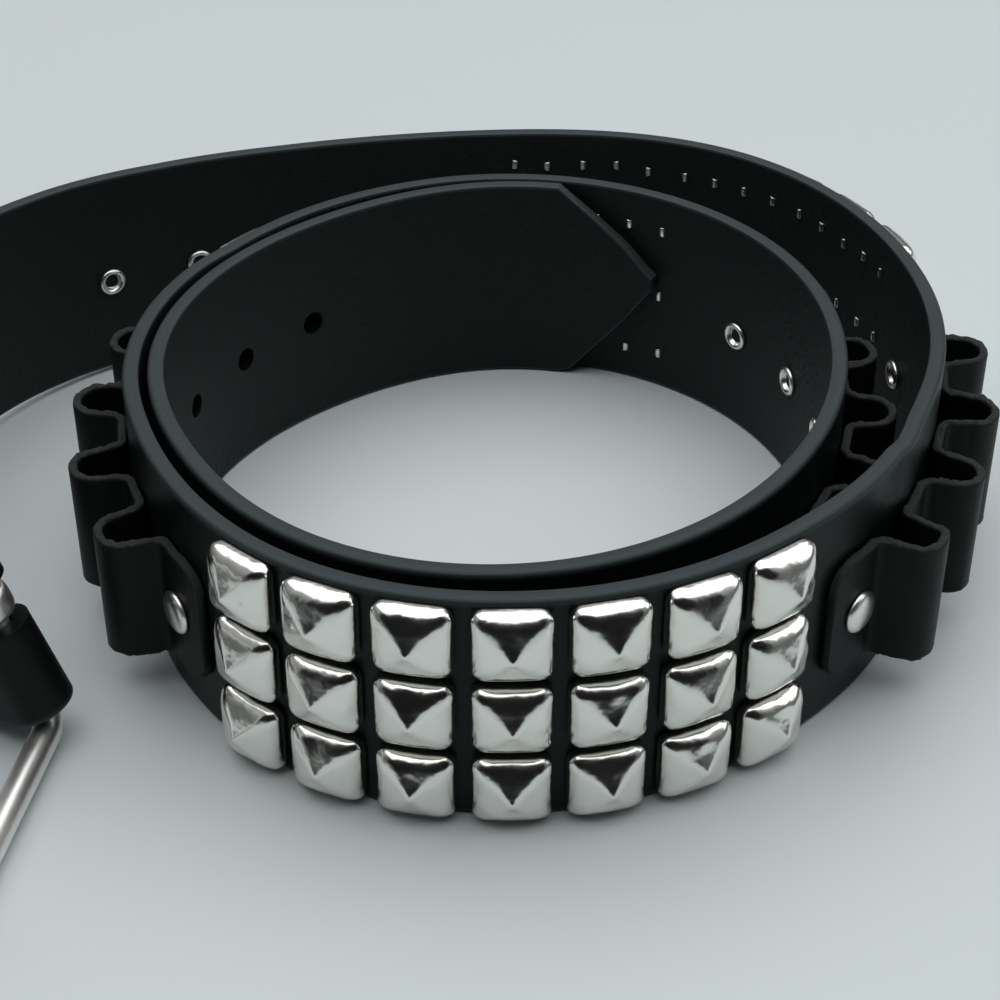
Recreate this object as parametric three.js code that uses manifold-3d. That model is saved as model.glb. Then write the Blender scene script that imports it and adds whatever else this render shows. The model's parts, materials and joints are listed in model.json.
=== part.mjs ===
// Studded belt lying coiled on its edge: strap, pyramid studs, bullet loops, tubular rivets and a wire buckle.
// Millimetres. Z is up, and the belt stands on z = 0.
import * as THREE from "three";
import { mergeVertices } from "three/examples/jsm/utils/BufferGeometryUtils.js";
import Module from "manifold-3d";

const wasm = await Module();
wasm.setup();

// Strap
const BELT_WIDTH = 44.45;
const LEATHER = 3.0;
const EDGE_BEVEL = 0.7;
const COIL_RADIUS = 61;
const LAP_GAP = 0.5;
const TIP_LENGTH = 21;
const HOLE_DIAMETER = 4.8;
const HOLE_PITCH = 19.05;
const HOLE_START = 76.5;
const HOLE_COUNT = 5;
const PLAIN_LENGTH = 142;

// Studs
const STUD_SIZE = 13.3;
const STUD_HEIGHT = 6.0;
const STUD_RIM = 2.0;
const STUD_CORNER = 1.3;
const STUD_ROW_GAP = 1.5;
const STUD_COLUMN_GAP = 2.1;
const STUD_ROWS = 3;
const STUD_COLUMNS = 7;
const FIELD_SHEET = 0.35;

// Bullet loops
const LOOP_PITCH = 20;
const LOOP_COUNT = 4;
const LOOP_RISE = 11.2;
const LOOP_LEATHER = 1.6;
const LOOP_WIDTH = 24;
const LOOP_DROP = 1.6;
const LOOP_VALLEY = 5.8;
const LOOP_BEND = 2.2;
const LOOP_SLOPE = 78;
const FLAP_LENGTH = 8;
const FLAP_ROUND = 5;

// Rivets
const SHANK_RADIUS = 1.5;
const FLAP_HEAD_RADIUS = 3.4;
const VALLEY_HEAD_RADIUS = 2.6;
const HEAD_HEIGHT = 1.3;
const BACK_RADIUS = 2.5;
const BACK_HEIGHT = 0.8;

// Buckle
const WIRE = 5.2;
const RAIL_CLEARANCE = 1.1;
const FRAME_LENGTH = 42;
const FRAME_CORNER = 3.8;
const FRAME_SWING = 68;
const BUCKLE_LEAN = 20;
const LEAN_LENGTH = 70;
const BAR_CLEARANCE = 0.4;
const RETURN_LENGTH = 42;
const RETURN_BLEND = 15;
const RETURN_GAP = 0.4;
const FOLD_RIVET = 26;
const PRONG_SLOT = 9;
const SLOT_REACH = 14;
const PRONG_THICKNESS = 3;
const PRONG_WIDTH = 5;
const PRONG_OVERHANG = 1.5;
const PRONG_SWING = 40;

// Every piece keeps this distance from the piece it lies on.
const SEAT = 0.3;

const STUD_PITCH = STUD_SIZE + STUD_COLUMN_GAP;
const ROW_PITCH = STUD_SIZE + STUD_ROW_GAP;
const BUCKLE_LIFT = WIRE + RAIL_CLEARANCE;
const middle = BELT_WIDTH / 2;
const loopMiddle = middle - LOOP_DROP;
const shankHole = SHANK_RADIUS + SEAT;

// The way the strap runs, seen from above, as the radius of its inner face at each angle.
// coil is a share of COIL_RADIUS, laps counts the layers of strap that lie inside, loops counts
// the rows of bullet loops that lie inside, and lift is a share of BUCKLE_LIFT.
const COIL = [
  { deg: 61, coil: 1.056, laps: 0, loops: 0, lift: 0 },
  { deg: 90, coil: 1.066, laps: 0, loops: 0, lift: 0 },
  { deg: 120, coil: 1.010, laps: 0, loops: 0, lift: 0 },
  { deg: 150, coil: 0.997, laps: 0, loops: 0, lift: 0 },
  { deg: 180, coil: 1.002, laps: 0, loops: 0, lift: 0 },
  { deg: 210, coil: 1.002, laps: 0, loops: 0, lift: 0 },
  { deg: 240, coil: 1.054, laps: 0, loops: 0, lift: 0 },
  { deg: 270, coil: 1.067, laps: 0, loops: 0, lift: 0 },
  { deg: 300, coil: 1.023, laps: 0, loops: 0, lift: 0 },
  { deg: 330, coil: 0.977, laps: 0, loops: 0, lift: 0 },
  { deg: 360, coil: 0.988, laps: 0, loops: 0, lift: 0 },
  { deg: 390, coil: 1.050, laps: 0.05, loops: 0, lift: 0 },
  { deg: 420, coil: 1.056, laps: 1, loops: 0, lift: 0 },
  { deg: 450, coil: 1.066, laps: 1, loops: 0, lift: 0 },
  { deg: 480, coil: 1.030, laps: 1, loops: 0, lift: 0 },
  { deg: 510, coil: 1.000, laps: 1, loops: 0, lift: 0 },
  { deg: 540, coil: 1.008, laps: 1, loops: 0, lift: 0 },
  { deg: 570, coil: 1.027, laps: 1, loops: 0, lift: 0 },
  { deg: 600, coil: 1.098, laps: 1, loops: 0, lift: 0 },
  { deg: 630, coil: 1.124, laps: 1, loops: 0, lift: 0 },
  { deg: 657, coil: 1.118, laps: 1, loops: 0, lift: 0 },
  { deg: 675, coil: 1.020, laps: 1, loops: 0.52, lift: 0 },
  { deg: 690, coil: 0.980, laps: 1, loops: 0.84, lift: 0 },
  { deg: 705, coil: 0.979, laps: 1, loops: 1, lift: 0 },
  { deg: 720, coil: 1.040, laps: 1, loops: 1, lift: 0 },
  { deg: 750, coil: 1.186, laps: 1, loops: 1, lift: 0 },
  { deg: 780, coil: 1.296, laps: 1, loops: 1, lift: 0 },
  { deg: 810, coil: 1.234, laps: 1, loops: 1, lift: 0 },
  { deg: 840, coil: 1.312, laps: 1, loops: 1, lift: 0 },
  { deg: 855, coil: 1.440, laps: 1, loops: 1, lift: 0.06 },
  { deg: 870, coil: 1.575, laps: 1, loops: 1, lift: 0.22 },
  { deg: 885, coil: 1.640, laps: 1, loops: 1, lift: 0.48 },
  { deg: 900, coil: 1.651, laps: 1, loops: 1, lift: 0.78 },
  { deg: 915, coil: 1.584, laps: 1, loops: 1, lift: 1.02 },
  { deg: 930, coil: 1.432, laps: 1, loops: 1, lift: 1.02 },
  { deg: 936, coil: 1.358, laps: 1, loops: 1, lift: 1 },
];

// The tip's two edges: along is a share of TIP_LENGTH, low and high are shares of BELT_WIDTH.
const TIP = [
  { along: 0, low: 0.55, high: 0.61 },
  { along: 0.1, low: 0.48, high: 0.65 },
  { along: 0.3, low: 0.34, high: 0.74 },
  { along: 0.85, low: 0.02, high: 0.94 },
  { along: 1, low: 0, high: 1 },
];

// What the strap carries, from the tip on. lead is the bare leather before the row, as a share of
// STUD_SIZE. The first row comes PLAIN_LENGTH after the last hole. rise is a share of LOOP_RISE.
const ROWS = [
  { kind: "loops", name: "first", lead: 0, rise: 0.9 },
  { kind: "field", name: "inner", lead: 0.92 },
  { kind: "loops", name: "second", lead: 0.23, rise: 1 },
  { kind: "studs", name: "front", lead: 0.40 },
  { kind: "loops", name: "third", lead: 0.515, rise: 1 },
  { kind: "field", name: "outer", lead: 0.175 },
  { kind: "loops", name: "fourth", lead: 0.04, rise: 1 },
];

const leatherBlack = new THREE.MeshStandardMaterial({ color: 0x17181a, roughness: 0.55, metalness: 0 });
const loopBlack = new THREE.MeshStandardMaterial({ color: 0x1d1e20, roughness: 0.65, metalness: 0 });
const nickel = new THREE.MeshStandardMaterial({ color: 0xd9d8d2, roughness: 0.18, metalness: 1 });
const wireNickel = new THREE.MeshStandardMaterial({ color: 0xcfcdc6, roughness: 0.22, metalness: 1 });

const radians = (degrees) => degrees * Math.PI / 180;

// A natural cubic spline through the given points.
function spline(xs, ys) {
  const n = xs.length;
  const bend = new Array(n).fill(0);
  const work = new Array(n).fill(0);
  for (let i = 1; i < n - 1; i++) {
    const share = (xs[i] - xs[i - 1]) / (xs[i + 1] - xs[i - 1]);
    const p = share * bend[i - 1] + 2;
    bend[i] = (share - 1) / p;
    const after = (ys[i + 1] - ys[i]) / (xs[i + 1] - xs[i]);
    const before = (ys[i] - ys[i - 1]) / (xs[i] - xs[i - 1]);
    work[i] = (6 * (after - before) / (xs[i + 1] - xs[i - 1]) - share * work[i - 1]) / p;
  }
  for (let i = n - 2; i >= 0; i--) {
    bend[i] = bend[i] * bend[i + 1] + work[i];
  }
  return (x) => {
    let k = 1;
    while (k < n - 1 && xs[k] < x) k++;
    const h = xs[k] - xs[k - 1];
    const a = (xs[k] - x) / h;
    const b = (x - xs[k - 1]) / h;
    const curve = ((a ** 3 - a) * bend[k - 1] + (b ** 3 - b) * bend[k]) * h * h / 6;
    return a * ys[k - 1] + b * ys[k] + curve;
  };
}

function straight(xs, ys, x) {
  let k = 1;
  while (k < xs.length - 1 && xs[k] < x) k++;
  const t = (x - xs[k - 1]) / (xs[k] - xs[k - 1]);
  return ys[k - 1] + (ys[k] - ys[k - 1]) * Math.min(1, Math.max(0, t));
}

// Fine samples of the inner face's path, with the distance run since the tip.
const DEGREES = COIL.map((row) => row.deg);
const drawn = spline(DEGREES, COIL.map((row) =>
  row.coil * COIL_RADIUS + row.laps * (LEATHER + LAP_GAP) + row.loops * LOOP_RISE));
const PATH_STEP = 0.25;
const TURN = Math.round(360 / PATH_STEP);
const SOFTEN = Math.round(7 / PATH_STEP);
const degrees = [];
for (let deg = DEGREES[0]; deg <= DEGREES[DEGREES.length - 1] + 1e-9; deg += PATH_STEP) {
  degrees.push(deg);
}
let path = [];
let PATH_LENGTH = 0;

function layPath(radii) {
  path = [];
  degrees.forEach((deg, i) => {
    const x = radii[i] * Math.cos(radians(deg));
    const y = radii[i] * Math.sin(radians(deg));
    const last = path[path.length - 1];
    const run = last ? last.run + Math.hypot(x - last.x, y - last.y) : 0;
    path.push({ deg, x, y, run });
  });
  PATH_LENGTH = path[path.length - 1].run;
}

// A place on the strap: the point on its inner face, the outward direction and the strap's lift.
function place(run) {
  const want = Math.min(Math.max(run, 0), PATH_LENGTH);
  let low = 0;
  let high = path.length - 1;
  while (high - low > 1) {
    const middle = (low + high) >> 1;
    if (path[middle].run <= want) low = middle;
    else high = middle;
  }
  const t = (want - path[low].run) / (path[high].run - path[low].run);
  const before = path[Math.max(low - 4, 0)];
  const after = path[Math.min(high + 4, path.length - 1)];
  const length = Math.hypot(after.x - before.x, after.y - before.y);
  const tx = (after.x - before.x) / length;
  const ty = (after.y - before.y) / length;
  const over = run - want;
  const deg = path[low].deg + (path[high].deg - path[low].deg) * t;
  return {
    x: path[low].x + (path[high].x - path[low].x) * t + tx * over,
    y: path[low].y + (path[high].y - path[low].y) * t + ty * over,
    ox: ty,
    oy: -tx,
    tx,
    ty,
    deg,
    lift: BUCKLE_LIFT * straight(DEGREES, COIL.map((row) => row.lift), deg),
  };
}

// The point at a height over the strap's inner face.
function over(run, height) {
  const p = place(run);
  return { x: p.x + p.ox * height, y: p.y + p.oy * height, lift: p.lift, deg: p.deg };
}

// Distances along the outer face are longer than along the inner face where the strap bends.
function outerRun(from, distance) {
  let run = from;
  let left = distance;
  const step = 1;
  while (left > 0) {
    const take = Math.min(step, left);
    const a = over(run, LEATHER);
    const b = over(run + take, LEATHER);
    run += take * take / Math.hypot(b.x - a.x, b.y - a.y);
    left -= take;
  }
  return run;
}

// A closed mesh through rings of equal length, with both ends capped.
function loft(rings) {
  const size = rings[0].length;
  const positions = rings.flat(2);
  const index = [];
  for (let i = 0; i < rings.length - 1; i++) {
    for (let j = 0; j < size; j++) {
      const a = i * size + j;
      const b = i * size + (j + 1) % size;
      index.push(a, b, b + size, a, b + size, a + size);
    }
  }
  const last = (rings.length - 1) * size;
  for (let j = 1; j < size - 1; j++) {
    index.push(0, j + 1, j);
    index.push(last, last + j, last + j + 1);
  }
  const geometry = new THREE.BufferGeometry();
  geometry.setAttribute("position", new THREE.Float32BufferAttribute(positions, 3));
  geometry.setIndex(index);
  return geometry;
}

// A solid from a mesh, turned right side out.
function solid(geometry) {
  const bare = new THREE.BufferGeometry();
  bare.setAttribute("position", geometry.attributes.position.clone());
  if (geometry.index) bare.setIndex(geometry.index.clone());
  const merged = mergeVertices(bare, 1e-4);
  const v = merged.attributes.position.array;
  const index = Uint32Array.from(merged.index.array);
  let volume = 0;
  for (let i = 0; i < index.length; i += 3) {
    const [a, b, c] = [index[i] * 3, index[i + 1] * 3, index[i + 2] * 3];
    volume += v[a] * (v[b + 1] * v[c + 2] - v[b + 2] * v[c + 1])
      - v[a + 1] * (v[b] * v[c + 2] - v[b + 2] * v[c])
      + v[a + 2] * (v[b] * v[c + 1] - v[b + 1] * v[c]);
  }
  if (volume < 0) {
    for (let i = 0; i < index.length; i += 3) {
      [index[i + 1], index[i + 2]] = [index[i + 2], index[i + 1]];
    }
  }
  return new wasm.Manifold(new wasm.Mesh({
    numProp: 3, vertProperties: new Float32Array(v), triVerts: index,
  }));
}

function cut(body, tools) {
  return tools.reduce((rest, tool) => rest.subtract(tool), body);
}

function fuse(bodies) {
  return bodies.reduce((sum, body) => sum.add(body));
}

function meshOf(body, name, material) {
  const data = body.getMesh();
  const geometry = new THREE.BufferGeometry();
  const points = [];
  for (let i = 0; i < data.vertProperties.length; i += data.numProp) {
    points.push(data.vertProperties[i], data.vertProperties[i + 1], data.vertProperties[i + 2]);
  }
  geometry.setAttribute("position", new THREE.Float32BufferAttribute(points, 3));
  geometry.setIndex(Array.from(data.triVerts));
  geometry.computeVertexNormals();
  const mesh = new THREE.Mesh(geometry, material);
  mesh.name = name;
  return mesh;
}

// The buckle's end of the strap leans: it is turned about the frame's lower rail, less and less
// along LEAN_LENGTH.
function leanAt(run) {
  const t = Math.min(1, Math.max(0, (PATH_LENGTH - run) / LEAN_LENGTH));
  const angle = radians(BUCKLE_LEAN) * (1 - t * t * (3 - 2 * t));
  const rail = new THREE.Vector3(direction.x, direction.y, 0);
  const matrix = new THREE.Matrix4().makeTranslation(bar.x, bar.y, WIRE / 2);
  matrix.multiply(new THREE.Matrix4().makeRotationAxis(rail, angle));
  return matrix.multiply(new THREE.Matrix4().makeTranslation(-bar.x, -bar.y, -WIRE / 2));
}

// Local axes that stand on the strap: X runs along it, Y points outward and Z is up.
function frameAt(run, height, z) {
  const p = place(run);
  const matrix = new THREE.Matrix4().makeBasis(
    new THREE.Vector3(p.tx, p.ty, 0), new THREE.Vector3(p.ox, p.oy, 0), new THREE.Vector3(0, 0, 1));
  const flip = new THREE.Matrix4().makeScale(-1, 1, 1);
  matrix.multiply(flip);
  matrix.setPosition(p.x + p.ox * height, p.y + p.oy * height, z + p.lift);
  if (run < PATH_LENGTH - LEAN_LENGTH) return matrix;
  // The leaning part is twisted, so its own tangents give the axes.
  const at = (r, y) => {
    const q = place(r);
    return new THREE.Vector3(q.x + q.ox * height, q.y + q.oy * height, y + q.lift).applyMatrix4(leanAt(r));
  };
  const backward = at(run - 1, z).sub(at(run + 1, z)).normalize();
  const outward = at(run, z + 1).sub(at(run, z - 1)).cross(backward).normalize();
  matrix.makeBasis(backward, outward, backward.clone().cross(outward));
  return matrix.setPosition(at(run, z));
}

// A ribbon of leather that stands on edge: its flesh side follows the points, its thickness goes outward.
function ribbon(points, thickness, bevel) {
  const rings = points.map((p, i) => {
    const before = points[Math.max(i - 1, 0)];
    const after = points[Math.min(i + 1, points.length - 1)];
    const ax = p.x - before.x;
    const ay = p.y - before.y;
    const bx = after.x - p.x;
    const by = after.y - p.y;
    const la = Math.hypot(ax, ay) || 1;
    const lb = Math.hypot(bx, by) || 1;
    let nx = ay / la + by / lb;
    let ny = -ax / la - bx / lb;
    const square = nx * nx + ny * ny;
    const both = i > 0 && i < points.length - 1;
    const scale = both ? 2 / square : 1 / Math.sqrt(square);
    nx *= scale;
    ny *= scale;
    const at = (depth, z) => {
      const point = new THREE.Vector3(p.x + nx * depth, p.y + ny * depth, z);
      return (p.lean ? point.applyMatrix4(p.lean) : point).toArray();
    };
    const b = Math.min(bevel, (p.high - p.low) * 0.45);
    if (bevel === 0) {
      return [at(0, p.low), at(thickness, p.low), at(thickness, p.high), at(0, p.high)];
    }
    return [at(0, p.low), at(thickness - b, p.low), at(thickness, p.low + b),
      at(thickness, p.high - b), at(thickness - b, p.high), at(0, p.high)];
  });
  return solid(loft(rings));
}

// The rows along the strap, as runs of the inner face.
let holeRuns = [];
let rows = [];
function layRows() {
  holeRuns = [];
  for (let i = 0; i < HOLE_COUNT; i++) {
    holeRuns.push(HOLE_START + i * HOLE_PITCH);
  }
  rows = [];
  let reached = outerRun(holeRuns[holeRuns.length - 1], PLAIN_LENGTH);
  for (const row of ROWS) {
    const looped = row.kind === "loops";
    const half = looped ? FLAP_LENGTH : STUD_SIZE / 2;
    const start = outerRun(reached, row.lead * STUD_SIZE + half);
    const pitch = looped ? LOOP_PITCH : STUD_PITCH;
    const pieces = looped ? LOOP_COUNT + 1 : STUD_COLUMNS;
    const runs = [];
    for (let i = 0; i < pieces; i++) {
      runs.push(outerRun(start, i * pitch));
    }
    reached = outerRun(runs[runs.length - 1], half);
    rows.push({ ...row, runs, from: outerRun(start, 0) - half, to: reached });
  }
}

// How far what the strap carries stands out of its outer face.
function carried(run) {
  for (const row of rows) {
    const first = row.runs[0];
    const last = row.runs[row.runs.length - 1];
    if (run < row.from || run > row.to) continue;
    if (row.kind !== "loops") return SEAT + STUD_HEIGHT;
    const foot = LOOP_VALLEY / 2 + LOOP_BEND;
    if (run > first + foot && run < last - foot) return row.rise * LOOP_RISE;
    return 2 * SEAT + LOOP_LEATHER + HEAD_HEIGHT;
  }
  return 0;
}

// How far rivet backs stand out of its inner face.
function backed(run) {
  const riveted = rows.some((row) => row.kind === "loops"
    && run > row.runs[0] - BACK_RADIUS && run < row.runs[row.runs.length - 1] + BACK_RADIUS);
  return riveted ? SEAT + BACK_HEIGHT : 0;
}

// An outer lap never lies closer than a seat to the lap inside it and to what both of them carry.
const plainRadii = degrees.map((deg) => drawn(deg));
let radii = [...plainRadii];
layPath(radii);
layRows();
for (let round = 0; round < 3; round++) {
  const seat = degrees.map((deg, i) =>
    i < TURN ? 0 : radii[i - TURN] + LEATHER + SEAT + carried(path[i - TURN].run) + backed(path[i].run));
  const widest = seat.map((_, i) => Math.max(...seat.slice(Math.max(0, i - SOFTEN), i + SOFTEN + 1)));
  radii = plainRadii.map((radius, i) => {
    if (i < TURN + SOFTEN) return radius;
    const near = widest.slice(i - SOFTEN, i + SOFTEN + 1);
    return Math.max(radius, near.reduce((sum, value) => sum + value, 0) / near.length);
  });
  layPath(radii);
  layRows();
}

// Strap: out from the tip, round the coil, round the buckle's bar and back along its own inner face.
const barRadius = WIRE / 2 + BAR_CLEARANCE;
const end = place(PATH_LENGTH);
const bar = { x: end.x - end.ox * barRadius, y: end.y - end.oy * barRadius };
const frameTurn = Math.atan2(end.ty, end.tx) - radians(FRAME_SWING);
const direction = { x: Math.cos(frameTurn), y: Math.sin(frameTurn) };
const SECTION_STEP = 7.4;

function strapPoints() {
  const points = [];
  const tipAlong = TIP.map((row) => row.along * TIP_LENGTH);
  const band = (run, lift) => ({
    low: lift + BELT_WIDTH * straight(tipAlong, TIP.map((row) => row.low), run),
    high: lift + BELT_WIDTH * straight(tipAlong, TIP.map((row) => row.high), run),
  });
  const runs = [...tipAlong];
  const count = Math.round((PATH_LENGTH - TIP_LENGTH) / SECTION_STEP);
  for (let i = 1; i <= count; i++) {
    runs.push(TIP_LENGTH + (PATH_LENGTH - TIP_LENGTH) * i / count);
  }
  for (const run of runs) {
    const p = over(run, 0);
    points.push({ x: p.x, y: p.y, ...band(run, p.lift), lean: leanAt(run) });
  }
  const turn = 10;
  for (let i = 1; i < turn; i++) {
    const a = Math.PI * i / turn;
    points.push({
      x: bar.x + barRadius * (end.ox * Math.cos(a) + end.tx * Math.sin(a)),
      y: bar.y + barRadius * (end.oy * Math.cos(a) + end.ty * Math.sin(a)),
      low: end.lift,
      high: end.lift + BELT_WIDTH,
      lean: leanAt(PATH_LENGTH),
    });
  }
  const back = 10;
  for (let i = 0; i <= back; i++) {
    const u = RETURN_LENGTH * i / back;
    const t = Math.min(1, u / RETURN_BLEND);
    const ease = t * t * (3 - 2 * t);
    const away = 2 * barRadius + (RETURN_GAP - 2 * barRadius) * ease;
    const p = over(PATH_LENGTH - u, -away);
    points.push({ x: p.x, y: p.y, low: p.lift, high: p.lift + BELT_WIDTH, lean: leanAt(PATH_LENGTH - u) });
  }
  return points;
}

// A round hole or shank along the outward direction.
function drill(run, z, radius, from, to, sides = 6) {
  const cylinder = new THREE.CylinderGeometry(radius, radius, to - from, sides);
  cylinder.applyMatrix4(new THREE.Matrix4().makeTranslation(0, (from + to) / 2, 0));
  cylinder.applyMatrix4(frameAt(run, 0, z));
  return solid(cylinder);
}

// Tubular rivet: a domed head outside, a shank, and a rolled back on the inner face.
function rivet(run, z, headRadius, grip, inner) {
  const profile = [
    [0, -SEAT - BACK_HEIGHT * 0.1],
    [SHANK_RADIUS, -SEAT - BACK_HEIGHT],
    [BACK_RADIUS, -SEAT - BACK_HEIGHT * 0.65],
    [BACK_RADIUS, -SEAT],
    [SHANK_RADIUS, -SEAT],
    [SHANK_RADIUS, grip + SEAT],
    [headRadius, grip + SEAT],
    [headRadius * 0.8, grip + SEAT + HEAD_HEIGHT * 0.75],
    [0, grip + SEAT + HEAD_HEIGHT],
  ];
  const shape = new THREE.LatheGeometry(profile.map(([r, y]) => new THREE.Vector2(r, y)), 8);
  shape.translate(0, inner, 0);
  shape.applyMatrix4(frameAt(run, 0, z));
  return solid(shape);
}

// One row of bullet loops: a strip that lies flat under each rivet and rises between them.
function loopStrip(runs, rise) {
  const half = LOOP_LEATHER / 2;
  const base = LEATHER + SEAT + half;
  const slope = radians(LOOP_SLOPE);
  const tall = rise * LOOP_RISE - SEAT - LOOP_LEATHER;
  // The straight side and the crest's radius that fill the pitch and the rise.
  const wide = LOOP_PITCH / 2 - LOOP_VALLEY / 2 - LOOP_BEND * Math.sin(slope);
  const high = tall - LOOP_BEND * (1 - Math.cos(slope));
  const a = Math.cos(slope);
  const b = Math.sin(slope);
  const side = (high - wide * (1 - a) / b) / (b - a * (1 - a) / b);
  const crest = (wide - side * a) / b;
  const wave = [];
  for (let i = 0; i < LOOP_COUNT; i++) {
    const climb = [];
    const bends = 2;
    for (let k = 0; k <= bends; k++) {
      const t = slope * k / bends;
      climb.push([LOOP_VALLEY / 2 + LOOP_BEND * Math.sin(t), LOOP_BEND * (1 - Math.cos(t))]);
    }
    const arcs = 3;
    for (let k = 0; k < arcs; k++) {
      const t = slope * (1 - k / arcs);
      climb.push([LOOP_PITCH / 2 - crest * Math.sin(t), tall - crest * (1 - Math.cos(t))]);
    }
    for (const [u, h] of climb) {
      wave.push({ from: i, u, h });
    }
    wave.push({ from: i, u: LOOP_PITCH / 2, h: tall });
    for (const [u, h] of [...climb].reverse()) {
      wave.push({ from: i, u: LOOP_PITCH - u, h });
    }
  }
  const line = [];
  const flap = [1, 0.9, 0.68, 0.4];
  const shorten = (share) => {
    const past = Math.max(0, share * FLAP_LENGTH - (FLAP_LENGTH - FLAP_ROUND));
    return FLAP_ROUND - Math.sqrt(Math.max(0, FLAP_ROUND ** 2 - past ** 2));
  };
  const first = runs[0];
  const last = runs[runs.length - 1];
  for (const share of flap) {
    const p = over(first - share * FLAP_LENGTH, base);
    line.push({ x: p.x, y: p.y, cut: Math.min(shorten(share), FLAP_ROUND * 0.8) });
  }
  for (const w of wave) {
    const share = w.u / LOOP_PITCH;
    const run = runs[w.from] + (runs[w.from + 1] - runs[w.from]) * share;
    const p = over(run, base + w.h);
    line.push({ x: p.x, y: p.y, cut: 0 });
  }
  for (const share of [...flap].reverse()) {
    const p = over(last + share * FLAP_LENGTH, base);
    line.push({ x: p.x, y: p.y, cut: Math.min(shorten(share), FLAP_ROUND * 0.8) });
  }
  const low = loopMiddle - LOOP_WIDTH / 2;
  const high2 = loopMiddle + LOOP_WIDTH / 2;
  const rings = line.map((p, i) => {
    const before = line[Math.max(i - 1, 0)];
    const after = line[Math.min(i + 1, line.length - 1)];
    const ax = p.x - before.x;
    const ay = p.y - before.y;
    const bx = after.x - p.x;
    const by = after.y - p.y;
    const la = Math.hypot(ax, ay) || 1;
    const lb = Math.hypot(bx, by) || 1;
    const nx = (i > 0 ? ay / la : 0) + (i < line.length - 1 ? by / lb : 0);
    const ny = (i > 0 ? -ax / la : 0) + (i < line.length - 1 ? -bx / lb : 0);
    const both = i > 0 && i < line.length - 1;
    const scale = (both ? 2 / (nx * nx + ny * ny) : 1) * half;
    return [
      [p.x - nx * scale, p.y - ny * scale, low + p.cut],
      [p.x + nx * scale, p.y + ny * scale, low + p.cut],
      [p.x + nx * scale, p.y + ny * scale, high2 - p.cut],
      [p.x - nx * scale, p.y - ny * scale, high2 - p.cut],
    ];
  });
  return cut(solid(loft(rings)), runs.map((run) =>
    drill(run, loopMiddle, shankHole, LEATHER, LEATHER + SEAT * 2 + LOOP_LEATHER)));
}

// Pyramid stud with a low upright rim and clipped corners.
function stud(run, row, plain = false) {
  const h = STUD_SIZE / 2;
  const c = STUD_CORNER;
  const outline = plain ? [[h, -h], [h, h], [-h, h], [-h, -h]]
    : [[h - c, -h], [h, -h + c], [h, h - c], [h - c, h], [-h + c, h], [-h, h - c], [-h, -h + c], [-h + c, -h]];
  const ring = (y, scale) => outline.map(([x, z]) => [x * scale, y, z * scale]);
  const top = 0.04;
  const shape = loft([ring(0, 1), ring(STUD_RIM, 1), ring(STUD_HEIGHT, top)]);
  const z = middle + (row - (STUD_ROWS - 1) / 2) * ROW_PITCH;
  shape.applyMatrix4(frameAt(run, LEATHER + SEAT, z));
  return solid(shape);
}

// A field of studs fused by a thin sheet under them.
function studField(runs) {
  const low = middle - (STUD_ROWS - 1) / 2 * ROW_PITCH - STUD_SIZE / 4;
  const high = middle + (STUD_ROWS - 1) / 2 * ROW_PITCH + STUD_SIZE / 4;
  const points = [];
  const steps = 2;
  for (let i = 0; i < runs.length - 1; i++) {
    for (let k = 0; k < steps; k++) {
      const p = over(runs[i] + (runs[i + 1] - runs[i]) * k / steps, LEATHER + SEAT);
      points.push({ x: p.x, y: p.y, low, high });
    }
  }
  const p = over(runs[runs.length - 1], LEATHER + SEAT);
  points.push({ x: p.x, y: p.y, low, high });
  const bodies = [ribbon(points, FIELD_SHEET * 2, 0)];
  for (const run of runs) {
    for (let row = 0; row < STUD_ROWS; row++) {
      bodies.push(stud(run, row, true));
    }
  }
  return fuse(bodies);
}

// Buckle frame: one closed loop of round wire, whose upright inside the fold is the bar.
const frameHeight = BELT_WIDTH + 2 * RAIL_CLEARANCE + WIRE;

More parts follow.
